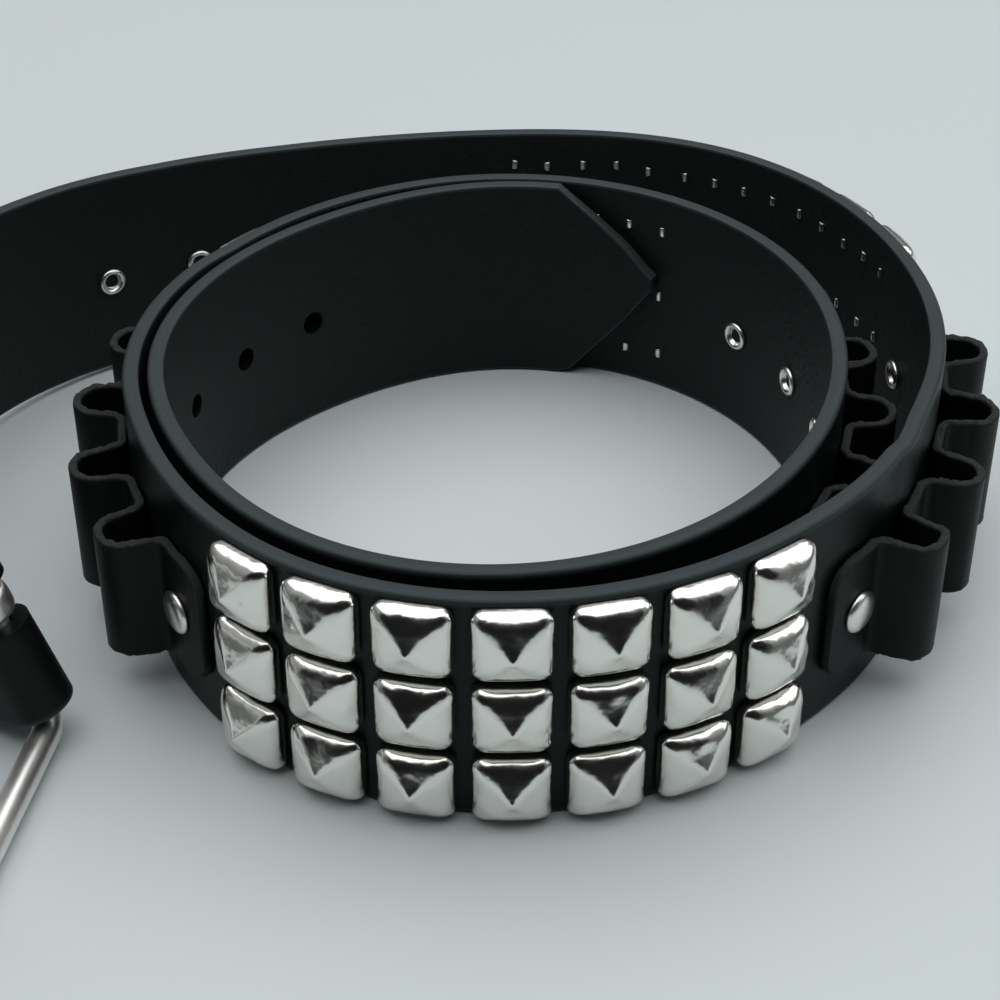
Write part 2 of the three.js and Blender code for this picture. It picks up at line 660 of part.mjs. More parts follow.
function frameWire() {
  const corners = [[0, WIRE / 2], [FRAME_LENGTH, WIRE / 2], [FRAME_LENGTH, WIRE / 2 + frameHeight],
    [0, WIRE / 2 + frameHeight]];
  const line = [];
  const arcs = 4;
  corners.forEach(([u, z], i) => {
    const before = corners[(i + 3) % 4];
    const after = corners[(i + 1) % 4];
    const toward = (q) => {
      const length = Math.hypot(q[0] - u, q[1] - z);
      return [(q[0] - u) / length, (q[1] - z) / length];
    };
    const a = toward(before);
    const b = toward(after);
    const centre = [u + (a[0] + b[0]) * FRAME_CORNER, z + (a[1] + b[1]) * FRAME_CORNER];
    for (let k = 0; k <= arcs; k++) {
      const t = Math.PI / 2 * k / arcs;
      line.push([
        centre[0] - FRAME_CORNER * (b[0] * Math.cos(t) + a[0] * Math.sin(t)),
        centre[1] - FRAME_CORNER * (b[1] * Math.cos(t) + a[1] * Math.sin(t)),
      ]);
    }
  });
  const sides = 8;
  const rings = line.map(([u, z], i) => {
    const before = line[(i + line.length - 1) % line.length];
    const after = line[(i + 1) % line.length];
    const length = Math.hypot(after[0] - before[0], after[1] - before[1]);
    const nu = (after[1] - before[1]) / length;
    const nz = -(after[0] - before[0]) / length;
    const ring = [];
    for (let k = 0; k < sides; k++) {
      const t = 2 * Math.PI * k / sides;
      const out = WIRE / 2 * Math.cos(t);
      const aside = WIRE / 2 * Math.sin(t);
      ring.push([
        bar.x + direction.x * (u + nu * out) - direction.y * aside,
        bar.y + direction.y * (u + nu * out) + direction.x * aside,
        z + nz * out,
      ]);
    }
    return ring;
  });
  const size = sides;
  const index = [];
  for (let i = 0; i < rings.length; i++) {
    const next = (i + 1) % rings.length;
    for (let j = 0; j < size; j++) {
      const k = (j + 1) % size;
      index.push(i * size + j, i * size + k, next * size + k);
      index.push(i * size + j, next * size + k, next * size + j);
    }
  }
  const geometry = new THREE.BufferGeometry();
  geometry.setAttribute("position", new THREE.Float32BufferAttribute(rings.flat(2), 3));
  geometry.setIndex(index);
  geometry.applyMatrix4(leanAt(PATH_LENGTH));
  return solid(geometry);
}

// Prong: a ring round the bar and a tongue that stands out of the slot.
function prong() {
  const z = BUCKLE_LIFT + middle;
  const inner = WIRE / 2 + SEAT;
  const outer = inner + PRONG_THICKNESS * 0.8;
  const ring = solid(new THREE.CylinderGeometry(outer, outer, PRONG_WIDTH, 14));
  const bore = solid(new THREE.CylinderGeometry(inner, inner, PRONG_WIDTH * 2, 14));
  const length = FRAME_LENGTH + WIRE / 2 + PRONG_OVERHANG;
  const start = inner + SEAT;
  const w = PRONG_WIDTH / 2;
  const t = PRONG_THICKNESS / 2;
  const box = (u, share, thick) => [[u, -w * share, -thick], [u, w * share, -thick], [u, w * share, thick],
    [u, -w * share, thick]];
  const tongue = solid(loft([box(start, 1, t), box(length * 0.8, 0.9, t), box(length, 0.5, t * 0.6)]));
  const upright = new THREE.Matrix4().makeRotationX(Math.PI / 2);
  const turn = Math.atan2(-end.ty, -end.tx) + radians(PRONG_SWING);
  const set = new THREE.Matrix4().makeRotationZ(turn);
  set.setPosition(bar.x, bar.y, z);
  set.premultiply(leanAt(PATH_LENGTH));
  const ringSet = set.clone().multiply(upright);
  const round = cut(ring, [bore]).transform(ringSet.elements);
  return round.add(tongue.transform(set.elements));
}

// The slot that the fold has for the prong.
function slotTool() {
  const thick = 2 * (barRadius + LEATHER + 2);
  const box = solid(new THREE.BoxGeometry(2 * SLOT_REACH, thick, PRONG_SLOT));
  const set = new THREE.Matrix4().makeRotationZ(Math.atan2(end.ty, end.tx));
  set.setPosition(bar.x, bar.y, BUCKLE_LIFT + middle);
  set.premultiply(leanAt(PATH_LENGTH));
  return box.transform(set.elements);
}

const belt = new THREE.Group();
belt.name = "studded_belt";
const strapGroup = new THREE.Group();
strapGroup.name = "strap_group";
const loopGroup = new THREE.Group();
loopGroup.name = "bullet_loops";
const studGroup = new THREE.Group();
studGroup.name = "studs";
const buckleGroup = new THREE.Group();
buckleGroup.name = "buckle";
belt.add(strapGroup, loopGroup, studGroup, buckleGroup);

const strapCuts = [slotTool()];
for (const run of holeRuns) {
  strapCuts.push(drill(run, middle, HOLE_DIAMETER / 2, -1, LEATHER + 1, 10));
}
const foldRun = PATH_LENGTH - FOLD_RIVET;
const foldInner = -(RETURN_GAP + LEATHER);
for (const row of [0, 2]) {
  const z = middle + (row - 1) * ROW_PITCH;
  const name = row === 0 ? "fold_rivet_low" : "fold_rivet_high";
  strapCuts.push(drill(foldRun, z, shankHole, foldInner - 1, LEATHER + 1));
  const body = rivet(foldRun, z, FLAP_HEAD_RADIUS, LEATHER - foldInner, foldInner);
  buckleGroup.add(meshOf(body, name, nickel));
}
for (const row of rows) {
  if (row.kind === "loops") {
    loopGroup.add(meshOf(loopStrip(row.runs, row.rise), row.name + "_loop_strip", loopBlack));
    row.runs.forEach((run, i) => {
      const atEnd = i === 0 || i === row.runs.length - 1;
      const head = atEnd ? FLAP_HEAD_RADIUS : VALLEY_HEAD_RADIUS;
      const grip = LEATHER + SEAT + LOOP_LEATHER;
      strapCuts.push(drill(run, loopMiddle, shankHole, -1, LEATHER + 1));
      loopGroup.add(meshOf(rivet(run, loopMiddle, head, grip, 0), row.name + "_loop_rivet_" + (i + 1), nickel));
    });
  }
  if (row.kind === "field") {
    studGroup.add(meshOf(studField(row.runs), row.name + "_stud_field", nickel));
  }
  if (row.kind === "studs") {
    row.runs.forEach((run, i) => {
      for (let k = 0; k < STUD_ROWS; k++) {
        studGroup.add(meshOf(stud(run, k), row.name + "_stud_" + (i + 1) + "_" + (k + 1), nickel));
      }
    });
  }
}
strapGroup.add(meshOf(cut(ribbon(strapPoints(), LEATHER, EDGE_BEVEL), strapCuts), "strap", leatherBlack));
buckleGroup.add(meshOf(frameWire(), "buckle_frame", wireNickel));
buckleGroup.add(meshOf(prong(), "buckle_prong", wireNickel));

// The middle of the whole belt's box comes to the origin.
const box = new THREE.Box3().setFromObject(belt);
const shift = new THREE.Vector3((box.min.x + box.max.x) / 2, (box.min.y + box.max.y) / 2, box.min.z);
belt.traverse((item) => {
  if (item.isMesh) item.geometry.translate(-shift.x, -shift.y, -shift.z);
});

export default belt;
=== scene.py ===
# %% [markdown]
# # A studded belt, coiled on its edge
# This lesson dresses a plain engineering model of a belt: black strap leather with a pointed tip,
# rows of pyramid studs, riveted loops between them and a wire buckle. The engineering model is
# loaded first and stays as it is. It says where everything is, and each piece made here takes the
# place of the plain solids that it stands for.

# %% Load the engineering model
import json
import math

import bmesh
import bpy
import numpy as np
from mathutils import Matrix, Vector

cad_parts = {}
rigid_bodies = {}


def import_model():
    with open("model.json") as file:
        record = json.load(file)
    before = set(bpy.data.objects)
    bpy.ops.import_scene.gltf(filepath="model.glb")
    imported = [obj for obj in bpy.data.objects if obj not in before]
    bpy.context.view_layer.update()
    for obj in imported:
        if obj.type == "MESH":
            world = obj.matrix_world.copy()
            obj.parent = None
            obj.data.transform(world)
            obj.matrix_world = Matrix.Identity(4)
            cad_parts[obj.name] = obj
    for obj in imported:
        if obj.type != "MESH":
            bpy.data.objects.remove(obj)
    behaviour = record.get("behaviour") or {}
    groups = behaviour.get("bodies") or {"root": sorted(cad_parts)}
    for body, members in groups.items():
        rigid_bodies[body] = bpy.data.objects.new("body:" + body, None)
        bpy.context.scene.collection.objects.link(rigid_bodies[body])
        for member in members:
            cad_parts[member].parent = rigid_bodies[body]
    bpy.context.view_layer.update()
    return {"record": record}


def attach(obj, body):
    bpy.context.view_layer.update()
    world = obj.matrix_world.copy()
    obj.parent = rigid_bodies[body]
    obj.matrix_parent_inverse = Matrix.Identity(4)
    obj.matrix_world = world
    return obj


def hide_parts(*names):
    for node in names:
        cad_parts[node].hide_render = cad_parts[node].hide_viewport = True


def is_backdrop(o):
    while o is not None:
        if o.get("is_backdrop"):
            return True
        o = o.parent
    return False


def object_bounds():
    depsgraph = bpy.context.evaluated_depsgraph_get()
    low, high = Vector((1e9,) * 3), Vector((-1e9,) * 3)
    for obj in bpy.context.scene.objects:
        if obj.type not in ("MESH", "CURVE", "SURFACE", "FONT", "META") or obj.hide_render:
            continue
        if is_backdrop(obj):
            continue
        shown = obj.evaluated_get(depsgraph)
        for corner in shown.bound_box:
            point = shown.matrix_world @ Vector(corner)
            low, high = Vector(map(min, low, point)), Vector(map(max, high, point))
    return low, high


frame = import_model()

# %% [markdown]
# ## The sizes of a belt
# Belt makers work from one size, the strap's width. Everything here is stated in millimetres, as
# on a maker's drawing, and becomes metres only where a mesh is made, because Blender's unit is
# the metre.

# %% Sizes in millimetres
BELT_WIDTH = 44.45
LEATHER = 3.0
COIL_RADIUS = 61
LAP_GAP = 0.5
SEAT = 0.3
TIP_LENGTH = 21
HOLE_DIAMETER = 4.8
HOLE_PITCH = 19.05
HOLE_START = 76.5
HOLE_COUNT = 5
PLAIN_LENGTH = 142
STUD_SIZE = 13.3
STUD_HEIGHT = 6.0
STUD_ROW_PITCH = STUD_SIZE + 1.5
STUD_COLUMN_PITCH = STUD_SIZE + 2.1
STUD_COLUMNS = 7
LOOP_PITCH = 20
LOOP_COUNT = 4
LOOP_RISE = 11.2
LOOP_LEATHER = 1.6
LOOP_WIDTH = 24
LOOP_VALLEY = 5.8
LOOP_BEND = 2.2
LOOP_SLOPE = 78
LOOP_DROP = 1.6
FLAP_LENGTH = 8
FLAP_ROUND = 5
FLAP_HEAD = 4.0
VALLEY_HEAD = 2.6
HEAD_HEIGHT = 1.3
BACK_RADIUS = 2.5
BACK_HEIGHT = 0.8
WIRE = 5.2
RAIL_CLEARANCE = 1.1
FRAME_LENGTH = 42
FRAME_CORNER = 3.8
FRAME_SWING = 68
BUCKLE_LEAN = 20
LEAN_LENGTH = 70
BAR_RADIUS = WIRE / 2 + 0.4
RETURN_LENGTH = 42
RETURN_BLEND = 15
RETURN_GAP = 0.4
FOLD_RIVET = 26
PRONG_SLOT = 9
SLOT_REACH = 14
PRONG_WIDTH = 5
PRONG_SWING = 40
BUCKLE_LIFT = WIRE + RAIL_CLEARANCE
MIDDLE = BELT_WIDTH / 2
LOOP_MIDDLE = MIDDLE - LOOP_DROP

# %% [markdown]
# ## The way the strap runs
# A coiled belt is a spiral seen from above. A smooth curve through a short table of radii gives the
# inner face of the strap, from the tip outward. The outer lap rests on whatever the lap inside it
# carries, so its radius is never less than that lap, its studs or its loops allow. A curve object
# could hold this shape too, but numbers are easier here, because studs, loops and holes all have
# to be set out along the same line.

# %% The table of the coil
# Columns: degrees, share of the coil's radius, laps that lie inside, rows of loops that lie
# inside, share of the lift that the buckle gives the strap.
COIL = np.array([
    (61, 1.056, 0, 0, 0), (90, 1.066, 0, 0, 0), (120, 1.010, 0, 0, 0), (150, 0.997, 0, 0, 0),
    (180, 1.002, 0, 0, 0), (210, 1.002, 0, 0, 0), (240, 1.054, 0, 0, 0), (270, 1.067, 0, 0, 0),
    (300, 1.023, 0, 0, 0), (330, 0.977, 0, 0, 0), (360, 0.988, 0, 0, 0), (390, 1.050, 0.05, 0, 0),
    (420, 1.056, 1, 0, 0), (450, 1.066, 1, 0, 0), (480, 1.030, 1, 0, 0), (510, 1.000, 1, 0, 0),
    (540, 1.008, 1, 0, 0), (570, 1.027, 1, 0, 0), (600, 1.098, 1, 0, 0), (630, 1.124, 1, 0, 0),
    (657, 1.118, 1, 0, 0), (675, 1.020, 1, 0.52, 0), (690, 0.980, 1, 0.84, 0),
    (705, 0.979, 1, 1, 0), (720, 1.040, 1, 1, 0), (750, 1.186, 1, 1, 0), (780, 1.296, 1, 1, 0),
    (810, 1.234, 1, 1, 0), (840, 1.312, 1, 1, 0), (855, 1.440, 1, 1, 0.06),
    (870, 1.575, 1, 1, 0.22), (885, 1.640, 1, 1, 0.48), (900, 1.651, 1, 1, 0.78),
    (915, 1.584, 1, 1, 1.02), (930, 1.432, 1, 1, 1.02), (936, 1.358, 1, 1, 1)])

# Columns: kind, name, bare leather before the row as a share of a stud, rise of the loops.
ROWS = [
    ("loops", "first", 0, 0.9), ("field", "inner", 0.92, 0), ("loops", "second", 0.23, 1),
    ("studs", "front", 0.40, 0), ("loops", "third", 0.515, 1), ("field", "outer", 0.175, 0),
    ("loops", "fourth", 0.04, 1)]

# The path's own centre lies here, seen from the middle of the whole belt.
CENTRE = np.array([17.76648, -1.81733])


# %% The strap's path
def natural_spline(xs, ys, at):
    """A natural cubic spline through the points, at the given places."""
    count = len(xs)
    bend, work = np.zeros(count), np.zeros(count)
    for i in range(1, count - 1):
        share = (xs[i] - xs[i - 1]) / (xs[i + 1] - xs[i - 1])
        p = share * bend[i - 1] + 2
        bend[i] = (share - 1) / p
        after = (ys[i + 1] - ys[i]) / (xs[i + 1] - xs[i])
        before = (ys[i] - ys[i - 1]) / (xs[i] - xs[i - 1])
        work[i] = (6 * (after - before) / (xs[i + 1] - xs[i - 1]) - share * work[i - 1]) / p
    for i in range(count - 2, -1, -1):
        bend[i] = bend[i] * bend[i + 1] + work[i]
    k = np.clip(np.searchsorted(xs, at), 1, count - 1)
    h = xs[k] - xs[k - 1]
    a, b = (xs[k] - at) / h, (at - xs[k - 1]) / h
    curve = ((a ** 3 - a) * bend[k - 1] + (b ** 3 - b) * bend[k]) * h * h / 6
    return a * ys[k - 1] + b * ys[k] + curve


# The path has a point at every quarter of a degree, and a lap's step up is softened over 7 degrees.
STEP = 0.25
TURN, SOFTEN = round(360 / STEP), round(7 / STEP)
path_degrees = np.arange(round((COIL[-1, 0] - COIL[0, 0]) / STEP) + 1) * STEP + COIL[0, 0]
drawn = natural_spline(COIL[:, 0], COIL[:, 1] * COIL_RADIUS + COIL[:, 2] * (LEATHER + LAP_GAP)
                       + COIL[:, 3] * LOOP_RISE, path_degrees)
path = {}


def lay_path(radii):
    """Keeps the path through these radii, with the run reached at each of its points."""
    angle = np.radians(path_degrees)
    path["xy"] = np.stack([radii * np.cos(angle), radii * np.sin(angle)], 1)
    steps = np.linalg.norm(np.diff(path["xy"], axis=0), axis=1)
    path["run"] = np.concatenate([[0], np.cumsum(steps)])
    path["length"] = path["run"][-1]


def place(run):
    """The points on the inner face at these runs, the outward and forward directions, the lift."""
    run = np.atleast_1d(np.asarray(run, float))
    want = np.clip(run, 0, path["length"])
    last = len(path["run"]) - 1
    low = np.clip(np.searchsorted(path["run"], want, side="right") - 1, 0, last - 1)
    t = (want - path["run"][low]) / (path["run"][low + 1] - path["run"][low])
    # The direction is taken over nine steps, so that it turns smoothly.
    ahead = path["xy"][np.minimum(low + 5, last)] - path["xy"][np.maximum(low - 4, 0)]
    forward = ahead / np.linalg.norm(ahead, axis=1)[:, None]
    outward = np.stack([forward[:, 1], -forward[:, 0]], 1)
    xy = path["xy"][low] + (path["xy"][low + 1] - path["xy"][low]) * t[:, None]
    xy = xy + forward * (run - want)[:, None]
    degrees = path_degrees[low] + STEP * t
    return xy, outward, forward, BUCKLE_LIFT * np.interp(degrees, COIL[:, 0], COIL[:, 4])


def over(run, height):
    """The points at a height over the inner face."""
    xy, outward, _, _ = place(run)
    return xy + outward * np.reshape(height, (-1, 1))


def outer_run(start, distance):
    """The run reached after a distance along the outer face, which is longer round a bend."""
    run, left = start, distance
    while left > 0:
        take = min(1, left)
        a, b = over([run, run + take], LEATHER)
        run += take * take / math.hypot(*(b - a))
        left -= take
    return run


# %% [markdown]
# ## Setting out the rows
# A belt maker marks the hole line first, then leaves bare leather for the belt to close on, then
# sets loops and studs in turn. The distances are measured along the outer face, as a ruler lies
# on it.

# %% Set out holes, studs and loops
hole_runs = HOLE_START + HOLE_PITCH * np.arange(HOLE_COUNT)
print("holes at", np.round(hole_runs, 1), "mm from the tip")


def lay_rows():
    """Where each piece of each row sits, and where the row starts and ends along the strap."""
    rows = []
    reached = outer_run(hole_runs[-1], PLAIN_LENGTH)
    for kind, name, lead, rise in ROWS:
        looped = kind == "loops"
        half = FLAP_LENGTH if looped else STUD_SIZE / 2
        start = outer_run(reached, lead * STUD_SIZE + half)
        pitch = LOOP_PITCH if looped else STUD_COLUMN_PITCH
        pieces = LOOP_COUNT + 1 if looped else STUD_COLUMNS
        runs = [outer_run(start, i * pitch) for i in range(pieces)]
        reached = outer_run(runs[-1], half)
        rows.append({"kind": kind, "name": name, "rise": rise, "runs": runs, "from": start - half,
                     "to": reached})
    return rows


def carried(run, rows):
    """How far studs, loops and rivets stand out of the outer face."""
    result = np.zeros(len(run))
    for row in reversed(rows):
        inside = (run >= row["from"]) & (run <= row["to"])
        if row["kind"] != "loops":
            result[inside] = SEAT + STUD_HEIGHT
            continue
        foot = LOOP_VALLEY / 2 + LOOP_BEND
        high = inside & (run > row["runs"][0] + foot) & (run < row["runs"][-1] - foot)
        result[inside] = 2 * SEAT + LOOP_LEATHER + HEAD_HEIGHT
        result[high] = row["rise"] * LOOP_RISE
    return result


def backed(run, rows):
    """How far rivet backs stand out of the inner face."""
    result = np.zeros(len(run))
    for row in rows:
        if row["kind"] == "loops":
            near = (run > row["runs"][0] - BACK_RADIUS) & (run < row["runs"][-1] + BACK_RADIUS)
            result[near] = SEAT + BACK_HEIGHT
    return result


# The outer laps and the rows that they carry depend on each other, so they settle in three rounds.
lay_path(drawn)
rows = lay_rows()
radii = drawn.copy()
for settling in range(3):
    seat = np.zeros(len(radii))
    seat[TURN:] = (radii[:-TURN] + LEATHER + SEAT + carried(path["run"][:-TURN], rows)
                   + backed(path["run"][TURN:], rows))
    widest = np.array([seat[max(0, i - SOFTEN):i + SOFTEN + 1].max() for i in range(len(seat))])
    radii = drawn.copy()
    for i in range(TURN + SOFTEN, len(radii)):
        radii[i] = max(drawn[i], widest[i - SOFTEN:i + SOFTEN + 1].mean())
    lay_path(radii)
    rows = lay_rows()
print("strap path", round(path["length"], 1), "mm, rows:", [row["name"] for row in rows])


# %% The buckle's bar and the lean of the strap's end
# The bar lies in the fold, and the frame's rails leave it in the direction RAIL.
end_xy, end_out, end_forward, end_lift = (v[0] for v in place(path["length"]))
BAR = end_xy - end_out * BAR_RADIUS
swing = math.atan2(end_forward[1], end_forward[0]) - math.radians(FRAME_SWING)
RAIL = np.array([math.cos(swing), math.sin(swing), 0])


def leaned(points, runs=None):
    """Points near the buckle, turned about the frame's lower rail, and less further back."""
    points = np.asarray(points, float)
    runs = np.full(points.shape[:-1], path["length"]) if runs is None else np.asarray(runs, float)
    t = np.clip((path["length"] - runs) / LEAN_LENGTH, 0, 1)
    angle = (math.radians(BUCKLE_LEAN) * (1 - t * t * (3 - 2 * t)))[..., None]
    foot = np.array([*BAR, WIRE / 2])
    p = points - foot
    along = (p @ RAIL)[..., None] * RAIL
    return foot + along + (p - along) * np.cos(angle) + np.cross(RAIL, p) * np.sin(angle)


# The engineering model's hinge point lies on the bar, at this height before the lean.
HINGE_HEIGHT = 27.5
hinge = frame["record"]["behaviour"]["joints"][0]
on_bar = leaned(np.array([*BAR, HINGE_HEIGHT])) + [*CENTRE, 0]
print("bar is off the hinge by", np.round(on_bar - np.array(hinge["pos_m"]) * 1000, 3), "mm")


# %% [markdown]
# ## Camera, floor and light
# The photograph was taken with a long lens from in front, looking down at about 35 degrees. The
# belt stands on a pale table in soft daylight from above and behind. The side that the camera
# stands on is darker, and polished metal shows that as black triangles on the studs' upper faces.

# %% The camera
# Sensor and lens are in millimetres, the place is in metres, and the look down is in degrees.
SENSOR, LENS = 36, 76.03
FRAMING = (-0.00102, -0.00025)
CAMERA_PLACE = (0.01777, -0.33229, 0.24360)
LOOKING_DOWN = 35.166
camera_data = bpy.data.cameras.new("camera")
camera_data.sensor_width = SENSOR
camera_data.lens = LENS
camera_data.shift_x, camera_data.shift_y = FRAMING
camera_data.clip_start = 0.01
camera = bpy.data.objects.new("camera", camera_data)
camera.location = CAMERA_PLACE
camera.rotation_euler = (math.radians(90 - LOOKING_DOWN), 0, 0)
bpy.context.collection.objects.link(camera)
bpy.context.scene.camera = camera
print("camera at", [round(v, 4) for v in camera.location])


# %% Helpers that make shader nodes
def fresh_material(name):
    """An empty material with one shader that can be given any finish."""
    material = bpy.data.materials.new(name)
    material.use_nodes = True
    tree = material.node_tree
    tree.nodes.clear()
    output = tree.nodes.new("ShaderNodeOutputMaterial")
    shader = tree.nodes.new("ShaderNodeBsdfPrincipled")
    tree.links.new(shader.outputs["BSDF"], output.inputs["Surface"])
    return material, tree, shader


def add(tree, kind, settings=None, **inputs):
    """A node with its settings, whose inputs are numbers or other nodes' sockets."""
    node = tree.nodes.new(kind)
    for key, value in (settings or {}).items():
        setattr(node, key, value)
    for key, value in inputs.items():
        name = int(key[1:]) if key[1:].isdigit() else key.replace("_", " ")
        socket = node.inputs[name]
        if isinstance(value, bpy.types.NodeSocket):
            tree.links.new(value, socket)
        else:
            socket.default_value = value
    return node


def ramp(tree, factor, stops):
    """A colour ramp of grey or coloured stops: (place, colour)."""
    node = add(tree, "ShaderNodeValToRGB", Fac=factor)
    elements = node.color_ramp.elements
    while len(elements) < len(stops):
        elements.new(0.5)
    for element, (at, colour) in zip(elements, stops):
        element.position = at
        element.color = (colour, colour, colour, 1) if isinstance(colour, float) else (*colour, 1)
    return node.outputs["Color"]


def link_object(name, mesh):
    """The mesh as an object in the scene."""
    piece = bpy.data.objects.new(name, mesh)
    bpy.context.collection.objects.link(piece)
    return piece


# %% The table that the belt stands on
# In metres. The table lies a hair under the belt, so that the two surfaces don't flicker.
TABLE_HALF, BELOW_BELT = 4.0, 0.0002
floor_material, tree, shader = fresh_material("pale_table")
shader.inputs["Base Color"].default_value = (0.585, 0.635, 0.645, 1)
shader.inputs["Roughness"].default_value = 0.55
mesh = bpy.data.meshes.new("table")
corners = [(x * TABLE_HALF, y * TABLE_HALF, 0) for x, y in ((-1, -1), (1, -1), (1, 1), (-1, 1))]
mesh.from_pydata(corners, [], [(0, 1, 2, 3)])
mesh.materials.append(floor_material)
table = link_object("table", mesh)
table.location = (0, 0, -BELOW_BELT)
table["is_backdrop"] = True
print("table laid,", 2 * TABLE_HALF, "m wide")

# %% The light
# The dark side of the room is a wide patch in this direction, so the view is squeezed sideways.
DARK_SIDE, SQUEEZE = (0.0, -0.86, 0.50), 0.45
ROOM_STRENGTH = 0.46
world = bpy.data.worlds.new("room")
world.use_nodes = True
tree = world.node_tree
tree.nodes.clear()
coordinates = add(tree, "ShaderNodeTexCoord")
split = add(tree, "ShaderNodeSeparateXYZ", Vector=coordinates.outputs["Generated"])
height = ramp(tree, split.outputs["Z"], [(0.0, (0.20, 0.21, 0.21)), (0.25, (0.30, 0.32, 0.32)),
                                         (0.6, (0.66, 0.69, 0.71)), (1.0, (0.8, 0.83, 0.85))])
squeezed = add(tree, "ShaderNodeMapping", Vector=coordinates.outputs["Generated"], Scale=(SQUEEZE, 1, 1))
unit = add(tree, "ShaderNodeVectorMath", {"operation": "NORMALIZE"}, _0=squeezed.outputs["Vector"])
toward = add(tree, "ShaderNodeVectorMath", {"operation": "DOT_PRODUCT"}, _0=unit.outputs["Vector"],
             _1=DARK_SIDE)
shade = ramp(tree, toward.outputs["Value"], [(0.80, 1.0), (0.88, 0.03)])
both = add(tree, "ShaderNodeMix", {"data_type": "RGBA", "blend_type": "MULTIPLY"}, _0=1.0, _6=height,
           _7=shade)
background = add(tree, "ShaderNodeBackground", Color=both.outputs[2], Strength=ROOM_STRENGTH)
output = add(tree, "ShaderNodeOutputWorld", Surface=background.outputs["Background"])
bpy.context.scene.world = world


def area_light(name, at, size, power):
    """A white panel at a place in metres, turned to the belt, with its size in metres and its watts."""
    data = bpy.data.lights.new(name, "AREA")
    data.shape = "RECTANGLE"
    data.size, data.size_y = size
    data.energy = power
    light = bpy.data.objects.new(name, data)
    light.location = at
    light.rotation_mode = "QUATERNION"
    light.rotation_quaternion = (-Vector(at)).to_track_quat("-Z", "Y")
    bpy.context.collection.objects.link(light)


area_light("ceiling", (-0.05, 0.20, 1.5), (2.6, 2.4), 29)
area_light("side_window", (1.1, 0.10, 0.75), (0.8, 0.8), 2.5)

bpy.context.scene.view_settings.view_transform = "Standard"


# %% [markdown]
# ## Leather
# Bridle leather is dyed black right through. Its grain face is smooth with fine pores, its flesh
# face is duller and fibrous, and its cut edge is rubbed until it shines. That shine is painted into
# the edge's colour as a lighter grey. One material does all three: the mesh carries two numbers at
# each vertex, "flesh" and "edge", and the material mixes its finishes by them. The pores use Object
# coordinates, so that they keep their size everywhere, and the streaks along the edge use the UV
# map, which is laid out in metres along the strap.

# %% Helpers for finishes
def mix(tree, kind, factor, first, second):
    """A mix of two numbers (FLOAT) or two colours (RGBA)."""
    node = tree.nodes.new("ShaderNodeMix")
    node.data_type = kind
    pair = (2, 3, 0) if kind == "FLOAT" else (6, 7, 2)
    for index, value in zip((0, *pair[:2]), (factor, first, second)):
        if isinstance(value, bpy.types.NodeSocket):
            tree.links.new(value, node.inputs[index])
        else:
            node.inputs[index].default_value = value
    return node.outputs[pair[2]]


def maths(tree, operation, first, second=0.0):
    """A sum or product of two numbers."""
    return add(tree, "ShaderNodeMath", {"operation": operation}, _0=first, _1=second).outputs[0]


def scaled(tree, value, by, plus):
    """The value times one number, plus another."""
    return maths(tree, "ADD", maths(tree, "MULTIPLY", value, by), plus)


def noise(tree, where, scale, detail=2.0, rough=0.5):
    """Cloudy noise from 0 to 1. The scale says how many clouds fit in a metre."""
    node = add(tree, "ShaderNodeTexNoise", Vector=where, Scale=scale, Detail=detail, Roughness=rough)
    return node.outputs["Fac"]


def stretched(tree, where, scale):
    """The same coordinates with a scale of their own in each direction."""
    return add(tree, "ShaderNodeMapping", Vector=where, Scale=scale).outputs["Vector"]


def carried_number(tree, name):
    """A number that the mesh carries at its points."""
    return add(tree, "ShaderNodeAttribute", {"attribute_name": name}).outputs["Fac"]


def finish(tree, shader, colour, roughness, relief, strength, distance):
    """Links a finish to its shader: colour, roughness and a bump of this strength and depth."""
    bump = add(tree, "ShaderNodeBump", Height=relief, Strength=strength, Distance=distance)
    tree.links.new(bump.outputs["Normal"], shader.inputs["Normal"])
    tree.links.new(colour, shader.inputs["Base Color"])
    tree.links.new(roughness, shader.inputs["Roughness"])


def dyed(shader, gloss):
    """Black dye takes the red out of the leather's gloss."""
    shader.inputs["Specular IOR Level"].default_value = gloss
    shader.inputs["Specular Tint"].default_value = (0.80, 1.0, 0.95, 1)


# %% Strap leather
GRAIN_DEPTH = 0.00014
strap_leather, tree, shader = fresh_material("strap_leather")
coordinates = add(tree, "ShaderNodeTexCoord")
here, along = coordinates.outputs["Object"], coordinates.outputs["UV"]
flesh, edge = carried_number(tree, "flesh"), carried_number(tree, "edge")
pores = add(tree, "ShaderNodeTexVoronoi", Vector=here, Scale=1500.0).outputs["Distance"]
pebble = noise(tree, here, 620.0, 2.0, 0.6)
fibres = noise(tree, stretched(tree, along, (450, 1400, 1)), 1.0, 3.0, 0.65)
streaks = noise(tree, stretched(tree, along, (50, 5200, 1)), 1.0)
broad = noise(tree, here, 42.0)
grain = scaled(tree, pores, 0.35, pebble)
